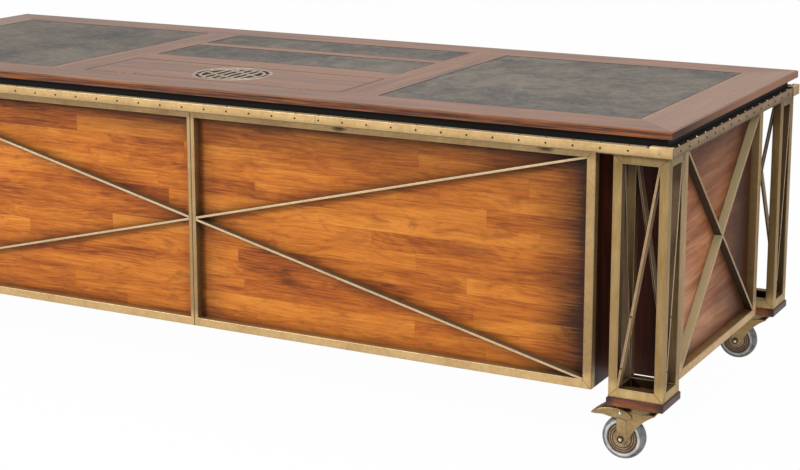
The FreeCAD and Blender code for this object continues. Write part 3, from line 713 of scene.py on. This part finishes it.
def addPrism(mesh, outline, low, high):  # an outline of (x, z) points, extruded along Y
    addLoft(mesh, [[(x, y, z) for x, z in outline] for y in (low, high)])


def addTurned(mesh, profile, centre, axis="Y", around=72):  # a closed profile of (radius, level) points
    loops = []
    for k in range(around):
        angle = 2 * math.pi * k / around
        a, b = math.cos(angle), math.sin(angle)
        points = [(r * a, level, r * b) if axis == "Y" else (r * a, r * b, level) for r, level in profile]
        loops.append([[middle + part for middle, part in zip(centre, point)] for point in points])
    addLoft(mesh, loops, closed=True)


def addDome(mesh, centre, outward, radius, height, around=12, rings=3):
    place = Vector(outward).to_track_quat("Z", "Y").to_matrix().to_4x4()
    place.translation = centre
    turns = [2 * math.pi * i / around for i in range(around)]
    circles = []
    for k in range(rings):
        angle = math.pi / 2 * k / rings
        level, reach = height * math.sin(angle), radius * math.cos(angle)
        circles.append([mesh.verts.new(place @ Vector((reach * math.cos(t), reach * math.sin(t), level)))
                        for t in turns])
    tip = mesh.verts.new(place @ Vector((0, 0, height)))
    for low, high in zip(circles, circles[1:]):
        joinRows(mesh, low, high)
    for i in range(around):
        mesh.faces.new((circles[-1][i], circles[-1][(i + 1) % around], tip))
    mesh.faces.new(list(reversed(circles[0])))


def addStrip(mesh, start, end, outward, width, low, high):  # a thin bar that lies on a face
    start, end, outward = Vector(start), Vector(end), Vector(outward)
    across = (end - start).cross(outward).normalized() * width / 2
    addLoft(mesh, [[point - across + outward * low, point + across + outward * low,
                    point + across + outward * high, point - across + outward * high]
                   for point in (start, end)])


def smoothed(points, steps):  # a curve through the points
    ends = [points[0]] + list(points) + [points[-1]]
    curve = []
    for a, b, c, d in zip(ends, ends[1:], ends[2:], ends[3:]):
        for t in (k / steps for k in range(steps)):
            curve.append(tuple(0.5 * (2 * q + (r - p) * t + (2 * p - 5 * q + 4 * r - u) * t * t
                                      + (3 * q - p - 3 * r + u) * t ** 3) for p, q, r, u in zip(a, b, c, d)))
    return curve + [tuple(points[-1])]


# rails, caps and frames

rivetValues = {
    "radius": 0.0026, "height": 0.0014, "pitchLong": 0.0636, "startLong": 1.145, "skirtZ": 0.713,
    "pitchEnd": 0.058, "startEnd": -0.425, "endZ": 0.7125, "inset": 0.005, "long": 37, "end": 15,
    "endRadius": 0.0032, "highlightedHeight": 0.002}


def railRivets():
    v = rivetValues
    mesh, highlighted = bmesh.new(), bmesh.new()  # on the end rails' flanges the rivets are painted bright, a painted highlight
    halfX, halfY, top = railBox["x"], railBox["y"], railBox["flangeZ"]
    for side in (-1, 1):
        ledgeX, ledgeY = side * (halfX - v["inset"]), side * (halfY - v["inset"])
        for x in (v["startLong"] - v["pitchLong"] * k for k in range(v["long"])):
            addDome(mesh, (x, side * halfY, v["skirtZ"]), (0, side, 0), v["radius"], v["height"])
            addDome(mesh, (x, ledgeY, top), (0, 0, 1), v["radius"], v["height"])
        for y in (v["startEnd"] + v["pitchEnd"] * k for k in range(v["end"])):
            addDome(mesh, (side * halfX, y, v["endZ"]), (side, 0, 0), v["endRadius"], v["height"])
            addDome(highlighted, (ledgeX, y, top), (0, 0, 1), v["endRadius"], v["highlightedHeight"])
    newPiece("endFlangeRivets", highlighted, brightSteel, "desk")
    newPiece("railRivets", mesh, darkBrass, "desk")


capValues = {
    "length": 0.051, "thick": 0.0025, "ledge": 0.014, "ledgeThick": 0.0028, "screwAt": 0.0284,
    "screwZ": 0.713, "screw": 0.0036, "head": 0.00035, "slot": 0.0007, "slotReach": 0.6, "slotHigh": 0.0001,
    "headSteps": (20, 2), "soften": 0.0005}


def cornerCaps():  # each cap is made on the side that faces -Y and turned to its place
    v = capValues
    caps, screws, slots = bmesh.new(), bmesh.new(), bmesh.new()
    low, flange = railBox["skirtZ"], railBox["flangeZ"]
    for turn in range(4):
        place = Matrix.Rotation(math.pi / 2 * turn, 4, "Z")
        end, face = (railBox["x"], railBox["y"]) if turn % 2 == 0 else (railBox["y"], railBox["x"])
        outer, back, top = -face - v["thick"], v["ledge"] - face, flange + v["ledgeThick"]
        profile = [(outer, low), (-face, low), (-face, flange), (back, flange), (back, top), (outer, top)]
        addLoft(caps, [[place @ Vector((x, y, z)) for y, z in profile] for x in (end - v["length"], end)])
        middle, out = Vector((end - v["screwAt"], outer, v["screwZ"])), place @ Vector((0, -1, 0))
        addDome(screws, place @ middle, out, v["screw"], v["head"], *v["headSteps"])
        reach = Vector((v["slotReach"] * v["screw"], 0, v["slotReach"] * v["screw"]))
        addStrip(slots, place @ (middle - reach), place @ (middle + reach), out, v["slot"], 0.0,
                 v["head"] + v["slotHigh"])
    newPiece("cornerCaps", caps, railBrass, "desk", replaced=["corner_caps"], soften=v["soften"])
    newPiece("capScrews", screws, casterBrass, "desk")
    newPiece("capScrewSlots", slots, jointShadow, "desk")


seamValues = {
    "width": 0.0008, "low": -0.0004, "high": 0.00012, "tube": 0.021, "ease": 0.0012, "railJoint": 0.374,
    "band": 0.461}
frameTurns = {"front_frame_right": 0, "rear_frame_right": 2, "rear_frame_left": 2, "end_frame_right": 1,
              "end_frame_left": -1}  # quarter turns from a frame that faces -Y


def faceMap(turns, offset, middle=(0, 0)):  # maps (along, up, out) of a turned face into the desk
    place = Matrix.Translation((middle[0], middle[1], 0)) @ Matrix.Rotation(math.pi / 2 * turns, 4, "Z")
    return lambda u, z, out=0.0: place @ Vector((u, -offset - out, z))


def outOf(face):
    return (face(0, 0, 1) - face(0, 0)).normalized()


def towerFaces():  # each tower face with half its width, its foot and its head
    for corner in corners:
        low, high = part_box(f"tower_{corner}")
        middle, half = (low + high) / 2, (high - low) / 2
        for turn in range(4):
            width, depth = (half.x, half.y) if turn % 2 == 0 else (half.y, half.x)
            yield faceMap(turn, depth, middle), width, low.z, high.z


def addFrameSeams(mesh, face, left, right, foot, head):  # mitres at the four corners of one frame
    v = seamValues
    for side, edge in ((1, left), (-1, right)):
        for rise, level in ((1, foot), (-1, head)):
            start, end = [face(edge + side * away, level + rise * away) for away in (v["ease"], v["tube"])]
            addStrip(mesh, start, end, outOf(face), v["width"], v["low"], v["high"])


def mitreSeams():
    v = seamValues
    section = v["width"], v["low"], v["high"]
    mesh = bmesh.new()
    for face, width, foot, head in towerFaces():
        addFrameSeams(mesh, face, -width, width, foot, head)
    for name, turns in frameTurns.items():
        low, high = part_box(name)
        turned = [Matrix.Rotation(-math.pi / 2 * turns, 4, "Z") @ point for point in (low, high)]
        left, right = sorted(point.x for point in turned)
        if name.startswith("front"):  # the two front frames are seen as one
            left = -right
            addStrip(mesh, (0, low.y, low.z), (0, low.y, high.z), (0, -1, 0), *section)
        face = faceMap(turns, -min(point.y for point in turned))
        addFrameSeams(mesh, face, left, right, low.z, high.z)
    top = railBox["flangeZ"]
    for side in (-1, 1):  # the butt joints of the long rails
        x, y = -side * v["railJoint"], side * railBox["y"]
        addStrip(mesh, (x, y, railBox["skirtZ"]), (x, y, top - v["ease"]), (0, side, 0), *section)
        addStrip(mesh, (x, y - side * v["ease"], top), (x, side * v["band"], top), (0, 0, 1), *section)
    newPiece("mitreSeams", mesh, jointShadow, "desk")


boltValues = {"radius": 0.0026, "height": 0.0014, "along": (0.09, 0.33), "inset": 0.001, "tube": 0.021}


def braceBolts():  # screw heads on the edges of the braces in the towers' faces
    v = boltValues
    mesh = bmesh.new()
    for face, width, low, high in towerFaces():
        foot, head = low + v["tube"], high - v["tube"]
        for share in v["along"]:
            point = face((width - v["tube"]) * (2 * share - 1), foot + (head - foot) * share, -v["inset"])
            addDome(mesh, point, outOf(face), v["radius"], v["height"])
    newPiece("braceBolts", mesh, darkBrass, "desk")


railRivets()
cornerCaps()
mitreSeams()
braceBolts()
print("rivets, caps, seams and bolts set")


# the medallion: two rings with bars between them, a few of which cross over the others

medallionValues = {
    "place": (0, -0.25, 0.7605), "rings": ((0.102, 0.093, 0.0024), (0.084, 0.076, 0.002)), "ease": 0.0016,
    "around": 96, "thick": 0.0013, "weave": 0.0003, "stations": 48, "pitch": 0.0235, "overlap": 0.001,
    "bridges": 8, "bridgeWidth": 0.006,
    "section": [(-1, 0), (-0.9, 0.75), (-0.6, 1), (0.6, 1), (0.9, 0.75), (1, 0)],
    "bars": [(90, 0.0052, 0, (-2, -1, 0, 1, 2)), (152, 0.0045, 1, (-1.35, 1.35))],
    "pocketShadow": [(0.0004, 0.00005), (0.101, 0.00005), (0.101, 0.0004), (0.0004, 0.0004)]}


def addBars(mesh, turn, half, phase, places):
    v = medallionValues
    place = Matrix.Translation(v["place"]) @ Matrix.Rotation(math.radians(turn), 4, "Z")
    for k, step in enumerate(places):
        offset = step * v["pitch"]
        reach = math.sqrt((v["rings"][1][1] + v["overlap"]) ** 2 - (abs(offset) + half) ** 2)
        loops = []
        for i in range(v["stations"] + 1):
            u = reach * (2 * i / v["stations"] - 1)
            lift = v["weave"] * (1 + math.cos(math.pi * (u / v["pitch"] + k + phase)))
            loops.append([place @ Vector((u, offset + a * half, b * v["thick"] + (lift if b else 0)))
                          for a, b in v["section"]])
        addLoft(mesh, loops)


def medallion():
    v = medallionValues
    mesh, plate = bmesh.new(), bmesh.new()
    centre, ease = Vector(v["place"]), v["ease"]
    for outer, inner, top in v["rings"]:
        addTurned(mesh, [(inner, 0.0), (inner, top - ease / 2), (inner + ease, top), (outer - ease, top),
                         (outer, top - ease / 2), (outer, 0.0)], centre, "Z", v["around"])
    for bars in v["bars"]:
        addBars(mesh, *bars)
    start, end = v["rings"][1][0] - v["overlap"], v["rings"][0][1] + v["overlap"]
    for k in range(v["bridges"]):  # short bridges from the inner ring to the rim
        angle = 2 * math.pi * (k + 0.5) / v["bridges"]
        along = Vector((math.cos(angle), math.sin(angle), 0))
        addStrip(mesh, centre + along * start, centre + along * end, (0, 0, 1), v["bridgeWidth"], 0.0,
                 v["thick"])
    newPiece("medallion", mesh, medallionMetal, "lid", replaced=["lid_medallion"])
    # a near-black disc under the lattice, a painted shadow in the pocket
    addTurned(plate, v["pocketShadow"], centre, "Z", v["around"])
    newPiece("medallionPocketShadow", plate, pocketShadow, "lid")


medallion()
print("medallion made")


# painted shadow lines where the insets and the lid meet the wood

outlineValues = {
    "width": 0.0014, "high": 0.00015, "low": -0.0003, "lidGap": 0.0015, "frontStrip": 0.194,
    "rearStrip": 0.166}


def insetShadowLines():
    v = outlineValues
    mesh = bmesh.new()
    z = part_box("top_frame")[1].z
    for name in ("leather_left", "leather_right", "leather_strips", "lid"):
        low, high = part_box(name)
        spans = [(low.y, high.y)]
        if name == "leather_strips":
            spans = [(low.y, low.y + v["frontStrip"]), (high.y - v["rearStrip"], high.y)]
        away = v["width"] / 2 + (v["lidGap"] if name == "lid" else 0)
        left, right = low.x - away, high.x + away
        for near, far in spans:
            ring = [(left, near - away), (right, near - away), (right, far + away), (left, far + away)]
            for start, end in zip(ring, ring[1:] + ring[:1]):
                addStrip(mesh, (*start, z), (*end, z), (0, 0, 1), v["width"], v["low"], v["high"])
    newPiece("insetShadowLines", mesh, grooveShade, "desk")


insetShadowLines()


# casters, made in millimetres about the swivel axis with the wheel trailing to -X

casterValues = {"trail": -42, "axle": 50, "half": 22.5, "millimetre": 0.001}


def casterPiece(name, mesh, corner, material, body, replaced=(), soften=0.0):
    low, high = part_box(f"tower_{corner}")
    middle, scale = (low + high) / 2, casterValues["millimetre"]
    place = Matrix.Translation((middle.x, middle.y, 0))
    place @= Matrix.Diagonal((scale * corners[corner], scale, scale, 1))
    bmesh.ops.transform(mesh, matrix=place, verts=mesh.verts)
    newPiece(name, mesh, material, f"{body}_{corner}", replaced, soften * scale)


wheelValues = {
    "disc": [(5.3, 17.2), (20.4, 17.2), (21.2, 14.6), (23.4, 14.6), (24.2, 16.0), (26, 16.0), (26.8, 14.3),
             (28.8, 14.3), (29.6, 15.5), (31.2, 15.5), (32, 13.6), (34.8, 13.6), (35.3, 14.8), (36, 14.8)],
    "tyre": [(36, 14.4), (42.2, 14.9), (42.8, 15.6), (44.8, 15.1), (46.8, 13.6), (48.4, 11), (49.5, 7.4),
             (50, 3)],
    "lip": [(36.1, 14.2), (36.6, 15.9), (38.6, 16.5), (41.2, 16.3), (42.2, 15.3), (42.2, 14.2)],
    "grooveFloor": 14, "grooveShadows": ((22.2, 1.2, 14.9), (27.8, 1.1, 14.7), (33.4, 1.5, 14.1)),
}


def mirrored(profile):
    return [(r, -level) for r, level in profile]


def wheel(corner):
    v = wheelValues
    floor = v["grooveFloor"]
    # the groove rings are dark sheets at the groove floors, a painted shadow
    grooveShadows = [[(r - half, floor), (r - half, level), (r + half, level), (r + half, floor)]
               for r, half, level in v["grooveShadows"]]
    disc, tyre = [v[name] + mirrored(v[name])[::-1] for name in ("disc", "tyre")]
    for name, material, slot, replaced, profiles in (
            ("disc", discMetal, "wheel_metal", [f"wheel_{corner}"], [disc]),
            ("tyre", rubber, "tyre", [f"tyre_{corner}"], [tyre]),
            ("tyreLipHighlights", lipHighlight, "tyre", [], [mirrored(v["lip"]), v["lip"]]),
            ("grooveShadows", grooveShade, "wheel_metal", [], [mirrored(ring) for ring in grooveShadows] + grooveShadows)):
        mesh = bmesh.new()
        for profile in profiles:
            addTurned(mesh, profile, (casterValues["trail"], 0, casterValues["axle"]))
        casterPiece(f"{name}_{corner}", mesh, corner, material, "wheel", replaced)


forkValues = {
    "sheet": 3, "crown": 118, "front": 36, "back": 55, "bend": 4, "footBack": 10, "footFront": 20,
    "footRise": 8, "sweep": 6.5, "arc": 14, "soften": 0.5, "nut": 8.5, "nutTop": 5.2, "dome": 4.4,
    "domeHigh": 2.8,
    "rib": [(-51, 96.5), (-31, 96.5), (-30.5, 60), (-33, 48), (-38, 42.5), (-46, 42.5), (-51, 49)],
    "ribDepth": 2.4, "ribSunk": 0.4, "overlap": 0.1, "bore": 0.4, "axleRadius": 4.9, "pin": (-44, 111),
    "pinRadius": 2.95, "pinTop": 3.2, "pinHead": 4.2, "pinHeadHigh": 2.2, "axleAround": 24,
    "pinAround": 20, "domeSteps": (20, 4), "nutSunk": 0.2, "pinSunk": 1, "footArc": (180, 316, 15),
    "bendSteps": 4, "weld": 0.02}


def legOutline():
    v = forkValues
    x, z = casterValues["trail"], casterValues["axle"]
    foot = [(x + v["footBack"] * math.cos(math.radians(a)), z + v["footBack"] * math.sin(math.radians(a)))
            for a in range(*v["footArc"])]
    start, end = Vector((x + v["footFront"], z + v["footRise"])), Vector((v["front"], v["crown"] - v["bend"]))
    edge = end - start
    hollow = Vector((-edge.y, edge.x)).normalized() * v["sweep"]
    lead = [start + edge * t + hollow * 4 * t * (1 - t) for t in (k / v["arc"] for k in range(v["arc"] + 1))]
    return [(-v["back"], v["crown"] - v["bend"])] + foot + [(p.x, p.y) for p in lead]


def forkBody(mesh):  # two legs, their bends and the crown, as one pressed sheet
    v, half = forkValues, casterValues["half"]
    outline, level = legOutline(), v["crown"] - v["bend"]
    bends = []
    for side in (-1, 1):
        legs = [[mesh.verts.new((x, side * y, z)) for x, z in outline] for y in (half, half - v["sheet"])]
        joinRows(mesh, *legs, around=False)  # the top edge stays open for the bend
        for leg in legs:
            mesh.faces.new(leg)
        bends.append([[(side * (half - v["bend"] + reach * math.cos(a)), level + reach * math.sin(a))
                       for a in (math.pi / 2 * k / v["bendSteps"] for k in range(v["bendSteps"] + 1))]
                      for reach in (v["bend"], v["bend"] - v["sheet"])])
    paths = [near + far[::-1] for near, far in zip(*bends)]  # over the crown and under it
    ends = (-v["back"], v["front"])
    grid = [[[mesh.verts.new((x, y, z)) for y, z in path] for x in ends] for path in paths]
    for back, front in grid:
        joinRows(mesh, back, front, around=False)
    for upper, under in zip(*grid):
        joinRows(mesh, upper, under, around=False)
    bmesh.ops.remove_doubles(mesh, verts=mesh.verts, dist=v["weld"])


def addPin(mesh, x, z, radius, low, high, around):  # a round bar along Y
    bore = forkValues["bore"]
    addTurned(mesh, [(bore, low), (radius, low), (radius, high), (bore, high)], (x, 0, z), around=around)


def fork(corner):
    v, half = forkValues, casterValues["half"]
    x, z = casterValues["trail"], casterValues["axle"]
    mesh, fixings, nuts = bmesh.new(), bmesh.new(), bmesh.new()
    forkBody(mesh)
    addPin(fixings, x, z, v["axleRadius"], -half, half, v["axleAround"])
    hexagon = [(x + v["nut"] * math.cos(math.pi * k / 3), z + v["nut"] * math.sin(math.pi * k / 3))
               for k in range(6)]
    pinX, pinZ = v["pin"]
    for side in (-1, 1):
        addPrism(mesh, v["rib"], side * (half - v["ribSunk"]), side * (half + v["ribDepth"]))
        addPrism(nuts, hexagon, side * (half + v["ribDepth"] - v["nutSunk"]), side * (half + v["nutTop"]))
        addDome(fixings, (x, side * (half + v["nutTop"] - v["overlap"]), z), (0, side, 0), v["dome"],
                v["domeHigh"], *v["domeSteps"])
        if corner.startswith("front"):
            addPin(fixings, pinX, pinZ, v["pinRadius"], side * (half - v["pinSunk"]),
                   side * (half + v["pinTop"]), v["pinAround"])
            addDome(fixings, (pinX, side * (half + v["pinTop"] - v["overlap"]), pinZ), (0, side, 0),
                    v["pinHead"], v["pinHeadHigh"], *v["domeSteps"])
    casterPiece(f"fork_{corner}Pressing", mesh, corner, casterBrass, "swivel", replaced=[f"fork_{corner}"],
                soften=v["soften"])
    casterPiece(f"fork_{corner}Fixings", fixings, corner, brightSteel, "swivel")
    casterPiece(f"fork_{corner}Nuts", nuts, corner, darkBrass, "swivel")


pedalValues = {
    "pivot": (-44, 111), "half": 25.3, "sheet": 2.4, "narrow": 9, "bendAt": -53, "roundness": 2.6,
    "web": -11, "stations": 21, "taper": 1.6,
    "top": [(26, -3.5), (14, 5), (-11, 10.5), (-34, 9), (-53, 4), (-73, -9.5)],
    "under": [(-73, -12.2), (-54, -9), (-40, -8.5), (-18, -12), (20, -12), (26, -7)], "soften": 0.4,
    "shoulder": 0.3, "lip": 0.2, "fillet": 0.5, "earLap": 0.4, "topSteps": 6,
    "underSteps": 4}


def levelAt(curve, u, least=0.0001):  # height of a curve of (u, v) points at one u
    points = sorted(curve)
    for (a, low), (b, high) in zip(points, points[1:]):
        if a <= u <= b:
            return low + (high - low) * (u - a) / max(b - a, least)
    return points[0][1] if u < points[0][0] else points[-1][1]


def pedal(corner):
    v = pedalValues
    top, under = [smoothed(v[name], v[f"{name}Steps"]) for name in ("top", "under")]
    mesh, loops = bmesh.new(), []
    pivotX, pivotZ = v["pivot"]
    sheet, r, ease, tip = v["sheet"], v["roundness"], v["shoulder"] * v["roundness"], v["top"][-1][0]
    for k in range(v["stations"] + 1):  # the web and its flanges, an upside-down channel
        u = v["web"] + (tip - v["web"]) * k / v["stations"]
        t = levelAt(top, u)
        b = min(levelAt(under, u), t - r - v["lip"])
        past = max(0.0, (v["bendAt"] - u) / (v["bendAt"] - tip))
        w = v["half"] - v["narrow"] * past ** v["taper"]
        side, roof, curl = w - sheet, t - sheet, v["fillet"]
        outer = [(w, b), (w, t - r), (w - ease, t - ease), (w - r, t)]
        inner = [(side, b), (side, roof - curl), (side - curl, roof)]
        ring = [(-y, z) for y, z in outer] + outer[::-1] + inner + [(-y, z) for y, z in inner[::-1]]
        loops.append([(pivotX + u, y, pivotZ + z) for y, z in ring])
    addLoft(mesh, loops)
    back = v["web"] - v["earLap"]
    ear = [p for p in top if p[0] > back] + [(back, levelAt(top, back)), (back, levelAt(under, back))]
    ear += [p for p in under if p[0] > back]
    ear = [(pivotX + u, pivotZ + z) for u, z in ear]
    for side in (-1, 1):
        addPrism(mesh, ear, side * (v["half"] - sheet), side * v["half"])
    casterPiece(f"pedal_{corner}Pressing", mesh, corner, casterBrass, "brake", replaced=[f"pedal_{corner}"],
                soften=v["soften"])


for corner in corners:
    wheel(corner)
    fork(corner)
    if corner.startswith("front"):
        pedal(corner)
print("casters made")


# camera, light and floor

cameraValues = {
    "place": (2.4999, -4.0887, 1.4844), "turn": 27.79, "down": 11.53, "lens": 82.5, "sensor": 36,
    "shift": -0.1}


def placeCamera():
    v = cameraValues
    data = bpy.data.cameras.new("deskCamera")
    data.sensor_width, data.lens, data.shift_y = v["sensor"], v["lens"], v["shift"]
    camera = addToScene("deskCamera", data)
    camera.location = v["place"]
    camera.rotation_euler = (math.radians(90 - v["down"]), 0, math.radians(v["turn"]))
    bpy.context.scene.camera = camera


lightValues = {
    "keyLight": {"place": (-2.6, -4.4, 3.2), "aim": (0.1, 0, 0.45), "size": (1.3, 1.0), "watts": 225},
    "endLight": {"place": (3.4, -2.5, 2.3), "aim": (1.2, 0, 0.4), "size": (0.9, 0.8), "watts": 54},
    "topLight": {"place": (0.4, 0.8, 3.4), "aim": (0.2, 0.2, 0.6), "size": (3.5, 2.0), "watts": 54},
}
worldValues = {"ambient": 0.38, "mirrored": 0.55}
floorValues = {"colour": hexColour("f2f2f2"), "rough": 0.9, "half": 14, "seen": 0.98,
               "mirror": (1.2, 4.0, 0.8, 0.25)}  # near and far radius, and the strength there


def placeLights():
    for name, v in lightValues.items():
        data = bpy.data.lights.new(name, "AREA")
        data.shape, data.energy = "RECTANGLE", v["watts"]
        data.size, data.size_y = v["size"]
        lamp = addToScene(name, data)
        lamp.location = v["place"]
        lamp.rotation_euler = (Vector(v["aim"]) - Vector(v["place"])).to_track_quat("-Z", "Y").to_euler()


def rayKinds(tree):  # whether the camera sees a place, and whether a mirror does
    path = addNode(tree, "LightPath").outputs
    return path["Is Camera Ray"], larger(path["Is Glossy Ray"], path["Is Transmission Ray"])


def makeWorld():
    v = worldValues
    world = bpy.data.worlds.new("studio")
    world.use_nodes = True
    seen, mirrored = rayKinds(world.node_tree)
    strength = timesPlus(mirrored, v["mirrored"] - v["ambient"], v["ambient"])
    white = world.node_tree.nodes["Background"].inputs
    plugIn(white["Color"], (1, 1, 1, 1))
    plugIn(white["Strength"], timesPlus(seen, 1 - v["ambient"], strength))
    bpy.context.scene.world = world


def makeFloor():
    v, far = floorValues, floorValues["half"]
    data = bpy.data.meshes.new("studioFloor")
    data.from_pydata([(-far, -far, 0), (far, -far, 0), (far, far, 0), (-far, far, 0)], [], [(0, 1, 2, 3)])
    material, tree, _ = newMaterial("floorPaper", v)
    seen, mirrored = rayKinds(tree)
    glow = addNode(tree, "Emission", Color=(1, 1, 1, 1), Strength=1.0)
    # painted reflection: for glossy rays the floor glows, brightest near the desk and fading with distance
    mirror = remap(lengthOf(objectVector(tree)), *v["mirror"])
    mix = addNode(tree, "MixShader", Fac=weighted((seen, mirrored), (v["seen"], mirror)))
    plugIn(mix.inputs[1], tree.nodes["Principled BSDF"].outputs[0])
    plugIn(mix.inputs[2], glow.outputs[0])
    plugIn(tree.nodes["Material Output"].inputs["Surface"], mix.outputs[0])
    data.materials.append(material)
    addToScene("studioFloor", data)


placeCamera()
placeLights()
makeWorld()
makeFloor()
bpy.context.scene.view_settings.view_transform = "Standard"
print("camera, lights and floor placed")
